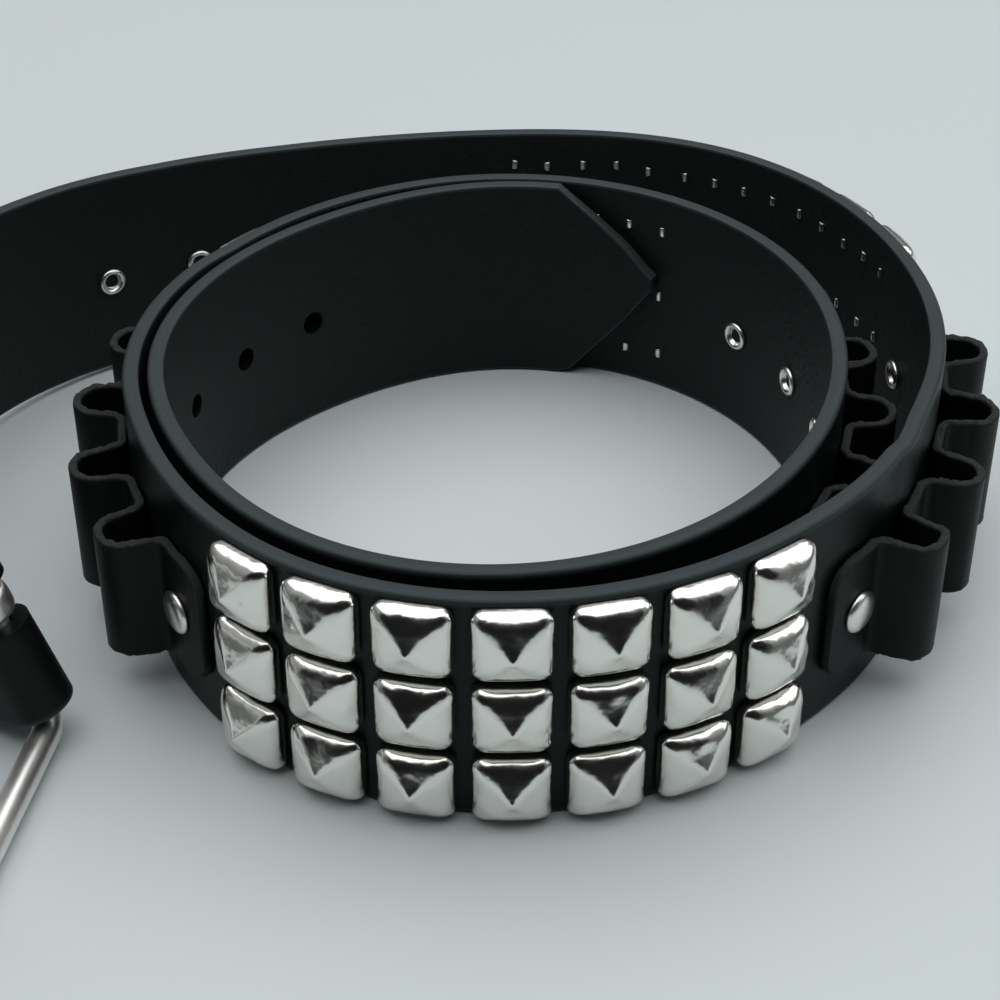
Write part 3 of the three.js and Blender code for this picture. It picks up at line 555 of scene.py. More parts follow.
# Small nubs stand on the flesh side in patches.
lumps = ramp(tree, noise(tree, here, 540.0), [(0.52, 0.0), (0.66, 1.0)])
patches = ramp(tree, noise(tree, here, 26.0), [(0.42, 0.15), (0.62, 1.0)])
nubs = maths(tree, "MULTIPLY", maths(tree, "MULTIPLY", lumps, patches), 2.2)
rough_side = maths(tree, "ADD", fibres, nubs)
face_relief = mix(tree, "FLOAT", flesh, grain, rough_side)
relief = mix(tree, "FLOAT", edge, face_relief, maths(tree, "MULTIPLY", streaks, 1.2))
dye = mix(tree, "RGBA", broad, (0.0012, 0.0024, 0.0021, 1), (0.0032, 0.0050, 0.0045, 1))
nap = mix(tree, "RGBA", fibres, (0.0034, 0.0052, 0.0049, 1), (0.0135, 0.0180, 0.0175, 1))
# Painted sheen: the shine of the rubbed edge is painted into its colour as a lighter grey, streaked along
# the strap.
painted_edge_sheen = mix(tree, "RGBA", streaks, (0.022, 0.027, 0.029, 1), (0.052, 0.061, 0.065, 1))
colour = mix(tree, "RGBA", edge, mix(tree, "RGBA", flesh, dye, nap), painted_edge_sheen)
smooth, dull = scaled(tree, broad, 0.16, 0.36), scaled(tree, fibres, 0.25, 0.44)
shine = scaled(tree, streaks, 0.20, 0.36)
roughness = mix(tree, "FLOAT", edge, mix(tree, "FLOAT", flesh, smooth, dull), shine)
finish(tree, shader, colour, roughness, relief, 0.42, GRAIN_DEPTH)
dyed(shader, 0.22)
print("strap leather:", len(tree.nodes), "nodes")

# %% Loop leather
# Thinner leather with raw edges: the fibres stand out of the cut, which is duller and greyer.
loop_leather, tree, shader = fresh_material("loop_leather")
here = add(tree, "ShaderNodeTexCoord").outputs["Object"]
edge, flesh = carried_number(tree, "edge"), carried_number(tree, "flesh")
pebble = noise(tree, here, 900.0, 3.0, 0.6)
fluff = noise(tree, here, 2600.0, 3.0, 0.75)
broad = noise(tree, here, 60.0, 3.0)
relief = mix(tree, "FLOAT", edge, pebble, maths(tree, "MULTIPLY", fluff, 3.0))
dye = mix(tree, "RGBA", broad, (0.0016, 0.0028, 0.0024, 1), (0.0048, 0.0068, 0.0062, 1))
raw = mix(tree, "RGBA", fluff, (0.006, 0.008, 0.007, 1), (0.052, 0.056, 0.052, 1))
roughness = mix(tree, "FLOAT", edge, scaled(tree, flesh, 0.12, 0.50), 0.85)
finish(tree, shader, mix(tree, "RGBA", edge, dye, raw), roughness, relief, 0.4, GRAIN_DEPTH)
dyed(shader, 0.18)
print("loop leather:", len(tree.nodes), "nodes")

# %% [markdown]
# ## Nickel plate
# Pressed studs are polished, but pressing thin sheet into a die leaves shallow waves and dents,
# which bend the reflections. Each stud gets its own number, "own", which shifts the pattern, so
# that no two studs are dented alike.


# %% Nickel
def nickel_finish(name, tint, roughness, dents, distance, dent_scale):
    """Plated steel: the bump's strength is dents, its depth is distance in metres."""
    material, tree, shader = fresh_material(name)
    here = add(tree, "ShaderNodeTexCoord").outputs["Object"]
    own = carried_number(tree, "own")
    apart = add(tree, "ShaderNodeCombineXYZ", X=own, Y=own, Z=own).outputs[0]
    shifted = add(tree, "ShaderNodeVectorMath", {"operation": "ADD"}, _0=here, _1=apart).outputs[0]
    waves = noise(tree, shifted, dent_scale, 2.0, 0.4)
    scuffs = noise(tree, shifted, 2400.0, 2.0, 0.7)
    worn = noise(tree, shifted, 500.0, 3.0, 0.6)
    shade = mix(tree, "RGBA", worn, (*(0.90 * v for v in tint), 1), (*tint, 1))
    relief = maths(tree, "ADD", waves, maths(tree, "MULTIPLY", scuffs, 0.02))
    finish(tree, shader, shade, scaled(tree, worn, 0.12, roughness), relief, dents, distance)
    shader.inputs["Metallic"].default_value = 1.0
    print(name, "made with dents about", round(1000 / dent_scale, 1), "mm apart")
    return material


stud_nickel = nickel_finish("stud_nickel", (0.87, 0.86, 0.81), 0.12, 0.45, 0.0004, 330.0)
rivet_nickel = nickel_finish("rivet_nickel", (0.88, 0.87, 0.82), 0.24, 0.4, 0.0002, 420.0)
wire_nickel = nickel_finish("wire_nickel", (0.90, 0.89, 0.86), 0.30, 0.2, 0.0001, 150.0)


# %% [markdown]
# ## A strap is one long loft
# Rings of points, one every two millimetres and closer at the tip, are joined into a skin. Each
# ring is the strap's cross-section: two flat faces, a rounded edge on the grain side and a sharper
# one on the flesh side. Extra points just inside each rounding keep the smooth shading from
# bleeding over the flat faces.

# %% Skinning rings
def skin(name, rings, values=None, uv=None, closed=False, material=None):
    """A mesh through rings of points in mm about the path's centre.

    values maps an attribute to one number for each point, and uv holds (u, v) for each point.
    """
    rings = np.asarray(rings, float)
    count, size = rings.shape[:2]
    points = rings.reshape(-1, 3).copy()
    points[:, :2] += CENTRE
    points /= 1000
    i, j = np.meshgrid(np.arange(count if closed else count - 1), np.arange(size), indexing="ij")
    after, beside = (i + 1) % count, (j + 1) % size
    quads = np.stack([i * size + j, i * size + beside, after * size + beside, after * size + j], -1)
    quads = quads.reshape(-1, 4)
    a, b, c = (points[quads[:, k]] for k in range(3))
    volume = np.einsum("ij,ij->", a, np.cross(b - a, c - a))
    caps = [] if closed else [list(range(size))[::-1], list(range((count - 1) * size, count * size))]
    turned = volume < 0
    faces = [list(q[::-1]) if turned else list(q) for q in quads]
    faces += [c[::-1] if turned else c for c in caps]
    mesh = bpy.data.meshes.new(name)
    mesh.from_pydata([tuple(p) for p in points], [], faces)
    for key, numbers in (values or {}).items():
        attribute = mesh.attributes.new(key, "FLOAT", "POINT")
        attribute.data.foreach_set("value", np.asarray(numbers, np.float32).ravel())
    if uv is not None:
        uv = np.asarray(uv, float).reshape(-1, 2)
        girth = uv[:, 1].max()
        layer = mesh.uv_layers.new(name="UVMap")
        data = []
        # A quad across the seam, where v starts again from 0, goes on upward instead.
        for polygon in mesh.polygons:
            corners = [uv[v] for v in polygon.vertices]
            heights = [v for _, v in corners]
            wraps = len(corners) == 4 and max(heights) - min(heights) > girth * 0.6
            for u, v in corners:
                data += [u, v + girth if wraps and v < girth * 0.3 else v]
        layer.data.foreach_set("uv", data)
    mesh.polygons.foreach_set("use_smooth", [True] * len(mesh.polygons))
    if material:
        mesh.materials.append(material)
    mesh.update()
    return mesh


# Radii of the edges on the flesh and the grain side, and how far the flat faces stay off them.
FLESH_ROUND, GRAIN_ROUND = 0.35, 0.85
FLESH_MARGIN, GRAIN_MARGIN = 0.4, 0.5
FACE_POINTS, NARROW_TIP = 11, 7


def strap_section(low, high):
    """Depth, height, edge share and flesh share round the strap's cross-section."""
    # The roundings shrink where the tip is narrower than this.
    size = min(1, (high - low) / NARROW_TIP)
    inner, outer = FLESH_ROUND * size, GRAIN_ROUND * size

    def flesh_corner(edge, up, degrees):
        return [(inner * (1 - np.cos(a)), edge + up * inner * (1 - np.sin(a)), 1, 0)
                for a in np.radians(degrees)]

    def grain_corner(edge, up, degrees):
        return [(LEATHER - outer * (1 - np.sin(a)), edge + up * outer * (1 - np.cos(a)), 1 - a / np.pi, 0)
                for a in np.radians(degrees)]

    def flat_face(depth, margin, flesh):
        shares = np.linspace(0, 1, FACE_POINTS)
        return [(depth, low + margin + (high - low - 2 * margin) * share, 0, flesh) for share in shares]

    points = flesh_corner(low, 1, [0, 45, 90]) + grain_corner(low, 1, [0, 22.5, 45, 67.5, 90])
    points += flat_face(LEATHER, outer + GRAIN_MARGIN * size, 0)
    points += grain_corner(high, -1, [90, 67.5, 45, 22.5, 0]) + flesh_corner(high, -1, [90, 45, 0])
    return points + flat_face(0, inner + FLESH_MARGIN * size, 1)[::-1]


# %% [markdown]
# The strap's end goes round the bar and comes back behind itself, where two rivets hold it. The
# same line of rings simply goes on through that fold, so it stays one piece of leather, as on the
# real belt. At the other end the lower and the upper edge draw together into the pointed tip.

# %% The strap's line, with the fold round the buckle's bar
# Columns: share of the tip's length, lower edge and upper edge as shares of the width.
TIP = np.array([(0, 0.55, 0.61), (0.1, 0.48, 0.65), (0.3, 0.34, 0.74), (0.85, 0.02, 0.94), (1, 0, 1)])
runs = np.concatenate([np.arange(0, TIP_LENGTH, 0.7), np.linspace(TIP_LENGTH, path["length"], 560)])
line, _, _, lifts = place(runs)
lows = lifts + BELT_WIDTH * np.interp(runs / TIP_LENGTH, TIP[:, 0], TIP[:, 1])
highs = lifts + BELT_WIDTH * np.interp(runs / TIP_LENGTH, TIP[:, 0], TIP[:, 2])
turn = np.radians(np.arange(9, 180, 9))[:, None]
round_bar = BAR + BAR_RADIUS * (end_out * np.cos(turn) + end_forward * np.sin(turn))
back = np.linspace(0, RETURN_LENGTH, 29)
ease = np.minimum(1, back / RETURN_BLEND)
ease = ease * ease * (3 - 2 * ease)
returning = over(path["length"] - back, -(2 * BAR_RADIUS + (RETURN_GAP - 2 * BAR_RADIUS) * ease))
back_lift = place(path["length"] - back)[3]
line = np.concatenate([line, round_bar, returning])
lows = np.concatenate([lows, np.full(len(turn), end_lift), back_lift])
highs = np.concatenate([highs, np.full(len(turn), end_lift + BELT_WIDTH), back_lift + BELT_WIDTH])
ahead = np.gradient(line, axis=0)
ahead /= np.linalg.norm(ahead, axis=1)[:, None]
aside = np.stack([ahead[:, 1], -ahead[:, 0]], 1)
station = np.concatenate([[0], np.cumsum(np.linalg.norm(np.diff(line, axis=0), axis=1))])
ring_runs = np.concatenate([runs, np.full(len(turn), path["length"]), path["length"] - back])
rings, edges, fleshes, uvs = [], [], [], []
for point, out, low, high, s in zip(line, aside, lows, highs, station):
    section = strap_section(low, high)
    rings.append([(*(point + out * d), z) for d, z, _, _ in section])
    edges += [e for _, _, e, _ in section]
    fleshes += [f for _, _, _, f in section]
    ring = np.array(section)[:, :2]
    girth = np.concatenate([[0], np.cumsum(np.linalg.norm(np.diff(ring, axis=0), axis=1))])
    uvs += [(s / 1000, g / 1000) for g in girth]
rings = leaned(rings, np.repeat(ring_runs[:, None], len(section), 1))
strap_mesh = skin("strap_blank", rings, {"edge": edges, "flesh": fleshes}, uvs, material=strap_leather)
strap_blank = link_object("strap_blank", strap_mesh)
print("strap is", round(station[-1], 1), "mm long with", len(strap_mesh.polygons), "faces")


# %% [markdown]
# ## Geometry Nodes for whatever repeats
# A hand press punches holes one by one, and studs and rivets are set the same way. In Blender a node
# tree does this work: it takes points, puts a copy of a piece on each one, and turns it by a
# number stored with the point. A helper makes the tree's inputs and then bakes its result into a
# plain mesh, so that the finished belt carries no modifiers.

# %% Tree helpers
def node_group(name, inputs):
    """A geometry node tree with named inputs: (label, socket type, default)."""
    tree = bpy.data.node_groups.new(name, "GeometryNodeTree")
    tree.interface.new_socket("Geometry", in_out="INPUT", socket_type="NodeSocketGeometry")
    for label, kind, default in inputs:
        socket = tree.interface.new_socket(label, in_out="INPUT", socket_type=kind)
        if default is not None:
            socket.default_value = default
    tree.interface.new_socket("Geometry", in_out="OUTPUT", socket_type="NodeSocketGeometry")
    return tree, tree.nodes.new("NodeGroupInput"), tree.nodes.new("NodeGroupOutput")


def turned_copies(tree, source, master, **choice):
    """A copy of the master on each point, turned by the point's own number."""
    turn = add(tree, "GeometryNodeInputNamedAttribute", Name="turn").outputs["Attribute"]
    spin = add(tree, "ShaderNodeCombineXYZ", Z=turn).outputs["Vector"]
    each = add(tree, "GeometryNodeInstanceOnPoints", Points=source.outputs["Geometry"], Instance=master,
               Rotation=spin, **choice)
    return each.outputs["Instances"]


def close_tree(tree, source, result, geometry):
    """Every tree ends with real geometry in one material."""
    real = add(tree, "GeometryNodeRealizeInstances", Geometry=geometry).outputs["Geometry"]
    paint = add(tree, "GeometryNodeSetMaterial", Geometry=real, Material=source.outputs["Material"])
    tree.links.new(paint.outputs["Geometry"], result.inputs["Geometry"])
    return tree


def bake(owner, tree, values, name):
    """The tree's result on the owner as a plain mesh in a new object."""
    modifier = owner.modifiers.new(tree.name, "NODES")
    modifier.node_group = tree
    for item in tree.interface.items_tree:
        if item.item_type == "SOCKET" and item.in_out == "INPUT" and item.name in values:
            modifier[item.identifier] = values[item.name]
    owner.update_tag()
    depsgraph = bpy.context.evaluated_depsgraph_get()
    mesh = bpy.data.meshes.new_from_object(owner.evaluated_get(depsgraph), depsgraph=depsgraph,
                                           preserve_all_data_layers=True)
    owner.modifiers.remove(modifier)
    mesh.name = name
    piece = link_object(name, mesh)
    print(name, "has", len(mesh.polygons), "faces")
    return piece


def point_cloud(name, points, turns, kinds=None):
    """Loose points in mm about the path's centre, each with the turn that its piece takes."""
    mesh = bpy.data.meshes.new(name)
    places = [((x + CENTRE[0]) / 1000, (y + CENTRE[1]) / 1000, z / 1000) for x, y, z in points]
    mesh.from_pydata(places, [], [])
    turn = mesh.attributes.new("turn", "FLOAT", "POINT")
    turn.data.foreach_set("value", np.asarray(turns, np.float32))
    if kinds is not None:
        kind = mesh.attributes.new("kind", "INT", "POINT")
        kind.data.foreach_set("value", np.asarray(kinds, np.int32))
    return link_object(name, mesh)


def discard(*objects):
    """Removes helper objects that have done their work."""
    for item in objects:
        bpy.data.objects.remove(item)


def standing_on(runs, heights, depth):
    """Points on the strap at a depth over its inner face, and the turn that faces them outward."""
    xy, outward, _, lift = place(runs)
    xy = xy + outward * depth
    points = [(x, y, z + up) for (x, y), z, up in zip(xy, heights, lift)]
    return points, np.arctan2(-outward[:, 0], outward[:, 1])


# %% [markdown]
# ## Punching the strap
# The closing holes are round and sit on the strap's middle line. The prong needs a long slot where
# the strap folds, through both layers. Both are cut with a boolean, because a real punch also
# leaves a clean wall right through the leather, and the wall catches light at the rim.

# %% The punch
def punch_tree():
    """Drills a round hole at each point of a cloud, and takes the slot's cutter away as well."""
    tree, source, result = node_group("punch", [
        ("Strap", "NodeSocketObject", None), ("Radius", "NodeSocketFloat", 0.002),
        ("Slot", "NodeSocketObject", None), ("Material", "NodeSocketMaterial", None)])
    drill = add(tree, "GeometryNodeMeshCylinder", Vertices=40, Radius=source.outputs["Radius"],
                Depth=4 * LEATHER / 1000)
    laid = add(tree, "GeometryNodeTransform", Geometry=drill.outputs["Mesh"],
               Rotation=(math.pi / 2, 0, 0))
    drills = turned_copies(tree, source, laid.outputs["Geometry"])
    strap = add(tree, "GeometryNodeObjectInfo", Object=source.outputs["Strap"]).outputs["Geometry"]
    slot = add(tree, "GeometryNodeObjectInfo", Object=source.outputs["Slot"]).outputs["Geometry"]
    how = {"operation": "DIFFERENCE", "solver": "EXACT"}
    cut = add(tree, "GeometryNodeMeshBoolean", how, Mesh_1=strap)
    tree.links.new(drills, cut.inputs["Mesh 2"])
    tree.links.new(slot, cut.inputs["Mesh 2"])
    return close_tree(tree, source, result, cut.outputs["Mesh"])


def slot_cutter():
    """A long hole with round ends, standing through both layers of the fold."""
    radius, deep = PRONG_SLOT / 2, BAR_RADIUS + LEATHER + 3
    outline = []
    for end, first in ((SLOT_REACH - radius, -90), (radius - SLOT_REACH, 90)):
        for a in np.radians(np.linspace(first, first + 180, 33)):
            outline.append((end + radius * math.cos(a), radius * math.sin(a)))
    middle = BUCKLE_LIFT + MIDDLE
    rings = [[(*(BAR + end_forward * u + end_out * side), middle + z) for u, z in outline]
             for side in (-deep, deep)]
    return link_object("slot_cutter", skin("slot_cutter", leaned(rings)))


points, turns = standing_on(hole_runs, [MIDDLE] * HOLE_COUNT, LEATHER / 2)
punches = point_cloud("punches", points, turns)
cutter = slot_cutter()
sizes = {"Strap": strap_blank, "Radius": HOLE_DIAMETER / 2000, "Slot": cutter, "Material": strap_leather}
strap = bake(punches, punch_tree(), sizes, "strap")
discard(punches, cutter, strap_blank)
# Cut walls meet the faces at a crease, and everything flatter than this stays smooth.
strap.data.set_sharp_from_angle(angle=math.radians(35))
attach(strap, "belt")
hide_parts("strap")


# %% [markdown]
# ## Bullet loops
# One strip makes four loops: it is riveted flat to the strap, then rises and falls like a wave.
# Each wave is a straight side, a round crest and a small bend at its foot. The strip is cut with a
# knife from soft leather, so its edges are rough. A little seeded noise moves the edge points in
# and out, which shows in the outline as no bump could.

# %% The wave of one row
def wave_line(row):
    """Centre line of the strip in mm, and how much each end's rounding takes off its height."""
    half = LOOP_LEATHER / 2
    base = LEATHER + SEAT + half
    slope = math.radians(LOOP_SLOPE)
    tall = row["rise"] * LOOP_RISE - SEAT - LOOP_LEATHER
    wide = LOOP_PITCH / 2 - LOOP_VALLEY / 2 - LOOP_BEND * math.sin(slope)
    high = tall - LOOP_BEND * (1 - math.cos(slope))
    # The straight side and the crest's radius follow from the height and half the width to reach.
    a, b = math.cos(slope), math.sin(slope)
    side = (high - wide * (1 - a) / b) / (b - a * (1 - a) / b)
    crest = (wide - side * a) / b
    climb = [(0.0, 0.0)]
    for k in range(9):
        t = slope * k / 8
        climb.append((LOOP_VALLEY / 2 + LOOP_BEND * math.sin(t), LOOP_BEND * (1 - math.cos(t))))
    for k in range(17):
        t = slope * (1 - k / 16)
        climb.append((LOOP_PITCH / 2 - crest * math.sin(t), tall - crest * (1 - math.cos(t))))
    wave = climb + [(LOOP_PITCH - u, h) for u, h in climb[-2::-1]]
    runs, heights, cuts = [], [], []
    start, finish = row["runs"][0], row["runs"][-1]
    flap = [(FLAP_LENGTH - FLAP_ROUND + FLAP_ROUND * math.sin(b), FLAP_ROUND * (1 - math.cos(b)))
            for b in np.radians(range(84, -1, -12))]
    for past, lost in flap:
        runs.append(start - past)
        heights.append(0)
        cuts.append(lost)
    for i in range(LOOP_COUNT):
        first, pitch = row["runs"][i], row["runs"][i + 1] - row["runs"][i]
        for u, h in (wave if i == 0 else wave[1:]):
            runs.append(first + pitch * u / LOOP_PITCH)
            heights.append(h)
            cuts.append(0)
    for past, lost in flap[::-1]:
        runs.append(finish + past)
        heights.append(0)
        cuts.append(lost)
    return over(runs, base + np.array(heights)), np.array(cuts)


# The rounding of the strip's edges, the margin inside it, and the distance between its rings.
LOOP_ROUND, LOOP_MARGIN, LOOP_STEP = 0.28, 0.5, 0.55


def loop_strip(row, seed):
    """A strip skinned along its wave, with rough edges and rounded flaps."""
    points, cuts = wave_line(row)
    travel = np.concatenate([[0], np.cumsum(np.linalg.norm(np.diff(points, axis=0), axis=1))])
    keep = np.concatenate([[True], np.diff(travel) > 1e-6])
    travel, points, cuts = travel[keep], points[keep], cuts[keep]
    wave_places = np.arange(travel[7], travel[-8], LOOP_STEP)
    at = np.unique(np.concatenate([travel[:7], wave_places, travel[-8:]]))
    xy = np.stack([np.interp(at, travel, points[:, k]) for k in (0, 1)], 1)
    lost = np.interp(at, travel, cuts)
    ahead = np.gradient(xy, at, axis=0)
    ahead /= np.linalg.norm(ahead, axis=1)[:, None]
    aside = np.stack([ahead[:, 1], -ahead[:, 0]], 1)
    dice = np.random.default_rng(seed)

    def rough(size, reach):
        """Smooth noise along the strip: size in mm between bumps, reach in mm."""
        knots = np.arange(0, at[-1] + 2 * size, size)
        return np.interp(at, knots, dice.normal(0, 1, len(knots))) * reach

    low = LOOP_MIDDLE - LOOP_WIDTH / 2 + lost
    high = LOOP_MIDDLE + LOOP_WIDTH / 2 - lost
    h, r = LOOP_LEATHER / 2, LOOP_ROUND
    m = r + LOOP_MARGIN
    # Columns: depth, height over the lower edge or under the upper one, edge share, flesh share.
    section = [(-h, r, None, 0.5, 1), (-h + r, 0, None, 1, 0), (0, 0, None, 1, 0), (h - r, 0, None, 1, 0),
               (h, r, None, 0.5, 0), (h, m, None, 0, 0), (h, None, 8, 0, 0), (h, None, m, 0, 0),
               (h, None, r, 0.5, 0), (h - r, None, 0, 1, 0), (0, None, 0, 1, 0), (-h + r, None, 0, 1, 0),
               (-h, None, r, 0.5, 1), (-h, None, m, 0, 1), (-h, 8, None, 0, 1), (-h, m, None, 0, 1)]
    rings = np.zeros((len(at), len(section), 3))
    for j, (d, up, down, e, _) in enumerate(section):
        z = low + up if up is not None else high - down
        if e:
            z = z + rough(1.6, 0.11) + rough(0.6, 0.20 if e == 1 else 0.06)
            d = d + rough(1.0, 0.06)
        rings[:, j, :2] = xy + aside * np.reshape(d, (-1, 1))
        rings[:, j, 2] = z
    edges = np.tile([s[3] for s in section], len(at))
    fleshes = np.tile([s[4] for s in section], len(at))
    name = row["name"] + "_loops"
    mesh = skin(name, rings, {"edge": edges, "flesh": fleshes}, material=loop_leather)
    piece = link_object(name, mesh)
    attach(piece, "belt")
    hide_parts(row["name"] + "_loop_strip")
    print(name, round(at[-1], 1), "mm of strip,", len(mesh.polygons), "faces")


loop_rows = [row for row in rows if row["kind"] == "loops"]
for seed, row in enumerate(loop_rows):
    loop_strip(row, seed + 11)


# %% [markdown]
# ## Scattering set pieces
# This tree puts a copy of a master piece on each point. When there are several masters, the
# number "kind" picks one. Each copy also gets a random number of its own from a fixed seed, kept
# as the attribute "own" for the nickel material.

# %% The setting tree
def setting_tree(name):
    """Copies of the masters on the points of a cloud, with a random number for each copy."""
    tree, source, result = node_group(name, [
        ("Masters", "NodeSocketCollection", None), ("Seed", "NodeSocketInt", 1),
        ("Own spread", "NodeSocketFloat", 1.0), ("Material", "NodeSocketMaterial", None)])
    masters = add(tree, "GeometryNodeCollectionInfo", Collection=source.outputs["Masters"],
                  Separate_Children=True)
    kind = add(tree, "GeometryNodeInputNamedAttribute", {"data_type": "INT"}, Name="kind")
    copies = turned_copies(tree, source, masters.outputs["Instances"], Pick_Instance=True,
                           Instance_Index=kind.outputs["Attribute"])
    dice = add(tree, "FunctionNodeRandomValue", _3=source.outputs["Own spread"],
               Seed=source.outputs["Seed"])
    keep = add(tree, "GeometryNodeStoreNamedAttribute", {"domain": "INSTANCE"}, Geometry=copies,
               Name="own", Value=dice.outputs[1])
    return close_tree(tree, source, result, keep.outputs["Geometry"])


def set_pieces(name, masters, points, turns, kinds, seed, material):
    """Copies of the masters, on the points, baked into one mesh."""
    collection = bpy.data.collections.new(name + "_masters")
    bpy.context.scene.collection.children.link(collection)
    for i, mesh in enumerate(masters):
        collection.objects.link(bpy.data.objects.new(f"{i}_{name}", mesh))
    cloud = point_cloud(name + "_points", points, turns, kinds)
    choice = {"Masters": collection, "Seed": seed, "Material": material}
    piece = bake(cloud, setting_tree(name), choice, name)
    discard(cloud, *list(collection.objects))
    bpy.data.collections.remove(collection)
    return piece


def finished(name, bm):
    """A smooth mesh from a bmesh, in metres, with its faces turned outward."""
    bmesh.ops.recalc_face_normals(bm, faces=bm.faces)
    bmesh.ops.scale(bm, vec=(0.001,) * 3, verts=bm.verts)
    mesh = bpy.data.meshes.new(name)
    bm.to_mesh(mesh)
    bm.free()
    mesh.polygons.foreach_set("use_smooth", [True] * len(mesh.polygons))
    return mesh


def bridge(bm, rings):
    """Quads between neighbouring rings of the same length."""
    for a, b in zip(rings, rings[1:]):
        for j in range(len(a)):
            k = (j + 1) % len(a)
            bm.faces.new((a[j], a[k], b[k], b[j]))


# %% [markdown]
# ## Pyramid studs
# A stud is pressed from thin sheet: a low upright rim, a rounded shoulder and four faces that rise
# to a blunt point. It is built as rings again, this time rounded squares that shrink as they rise.
# The corner radius shrinks less than the square does, so the ridges stay soft. The four faces bulge
# a little, and a few seeded dents go into the sheet. There are six such masters, and each place on
# the belt gets one of them at random, so that neighbours seldom look alike.

# %% The stud
# Columns: size as a share of half the stud, height over the leather in mm.
STUD_PROFILE = [
    (0.975, -SEAT), (0.985, 0.3), (0.99, 0.95), (0.985, 1.35), (0.965, 1.75), (0.93, 2.12), (0.885, 2.48),
    (0.83, 2.84), (0.77, 3.18), (0.70, 3.5), (0.62, 3.82), (0.52, 4.18), (0.41, 4.56), (0.30, 4.94),
    (0.20, 5.29), (0.12, 5.58), (0.06, 5.78), (0.02, 5.86)]
# Bulge and dents in mm. The spread of a dent is the square of its reach, as a share of half the stud.
BULGE, DENT_DEPTH = 0.42, 0.14
DENT_COUNT, DENT_SPREAD = 9, 0.06


def swell(share, start, span):
    """A smooth hump, 1 in the middle of a stretch of shares and 0 at its ends and beyond."""
    return math.sin(math.pi * min(1, max(0, (share - start) / span)))


def stud_mesh(seed):
    """A stud with dents of its own, each with a place on its base and a depth."""
    dice = np.random.default_rng(seed)
    dents = [(*dice.uniform(-1, 1, 2), dice.normal(0, 1, 2)[0]) for _ in range(DENT_COUNT)]
    bm = bmesh.new()
    half = STUD_SIZE / 2
    rings = []
    for share, y in STUD_PROFILE:
        size = half * share
        corner = min(size * 0.95, 0.9 + 1.15 * share ** 3)
        bow, soft = BULGE * swell(share, 0.32, 0.66), swell(share, 0.35, 0.68)
        flat = size - corner
        side = [(size, -flat + 2 * flat * k / 8) for k in range(8)]
        side += [(flat + corner * math.cos(a), flat + corner * math.sin(a))
                 for a in np.radians([0, 22.5, 45, 67.5])]
        ring = []
        for quarter in range(4):
            turn = math.pi / 2 * quarter
            for x, z in side:
                x += bow * max(0, 1 - (z / size) ** 2)
                u = x * math.cos(turn) - z * math.sin(turn)
                v = x * math.sin(turn) + z * math.cos(turn)
                dent = sum(deep * math.exp(-((u / half - p) ** 2 + (v / half - q) ** 2) / DENT_SPREAD)
                           for p, q, deep in dents)
                ring.append(bm.verts.new((u, y + DENT_DEPTH * soft * dent, v)))
        rings.append(ring)
    bridge(bm, rings)
    bm.faces.new(rings[0])
    bm.faces.new(rings[-1])
    return finished("stud", bm)


# On the two fields behind, each row sits this much closer to the row below it.
FIELD_DROP = 0.35
points, turns, names = [], [], []
for row in rows:
    if row["kind"] == "loops":
        continue
    drop = FIELD_DROP if row["kind"] == "field" else 0
    heights = [MIDDLE + (k - 1) * STUD_ROW_PITCH - drop * k for k in range(3)]
    for run in row["runs"]:
        at, facing = standing_on([run] * 3, heights, LEATHER + SEAT)
        points += at
        turns += list(facing)
    if row["kind"] == "studs":
        names += [f"front_stud_{i + 1}_{k + 1}" for i in range(STUD_COLUMNS) for k in range(3)]
    else:
        names.append(row["name"] + "_stud_field")
masters = [stud_mesh(seed) for seed in range(21, 27)]
kinds = np.random.default_rng(4).integers(0, len(masters), len(points))
studs = set_pieces("studs", masters, points, turns, kinds, 5, stud_nickel)
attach(studs, "belt")
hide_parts(*names)
print(len(points), "studs for", len(names), "solids")


# %% [markdown]
# ## Rivets and prong ends
# A tubular rivet has a domed head outside. Its shank goes through the leather, and a tool rolls
# its end over on the flesh side, which leaves a shiny ring round a dark hole. A lathe shape does
# both ends at once. The studs have no shank: two prongs of each one are pushed through the strap
# and bent over, and their flat ends show in pairs on the inside of the belt.

# %% Turned pieces
def turned(name, profile, sides=28):
    """A mesh of revolution about the Y axis through points (radius, height)."""
    bm = bmesh.new()
    rings = []
    for r, y in profile:
        angles = [2 * math.pi * i / sides for i in range(sides if r else 1)]
        rings.append([bm.verts.new((r * math.cos(t), y, r * math.sin(t))) for t in angles])
    for a, b in zip(rings, rings[1:]):
        for j in range(sides):
            k = (j + 1) % sides
            corners = [a[j % len(a)], a[k % len(a)], b[k % len(b)], b[j % len(b)]]
            corners = [v for i, v in enumerate(corners) if v not in corners[:i]]
            bm.faces.new(corners)
    return finished(name, bm)


# Columns: share of the head's radius, share of its height.
DOME = [(0, 1), (0.3, 0.985), (0.55, 0.91), (0.75, 0.77), (0.89, 0.56), (0.97, 0.33), (1, 0.1),
        (0.98, -0.12)]
# Columns: radius and height of the rolled end and the hole in it, in mm.
ROLL = [(1.5, -0.05), (2.65, -0.02), (2.95, -0.25), (2.92, -0.6), (2.72, -0.88), (2.42, -1.0),
        (2.1, -0.9), (1.86, -0.6), (1.7, -0.15), (1.42, 0.15), (1.35, 1.2), (0.8, 1.8), (0, 1.9)]


def rivet_profile(head, grip):
    """A domed head of this radius over the leather that it grips, a shank and its rolled end."""
    top = [(head * r, grip + SEAT * 0.6 + (HEAD_HEIGHT + 0.1) * y) for r, y in DOME]
    return top + [(ROLL[0][0], grip - 0.1)] + ROLL


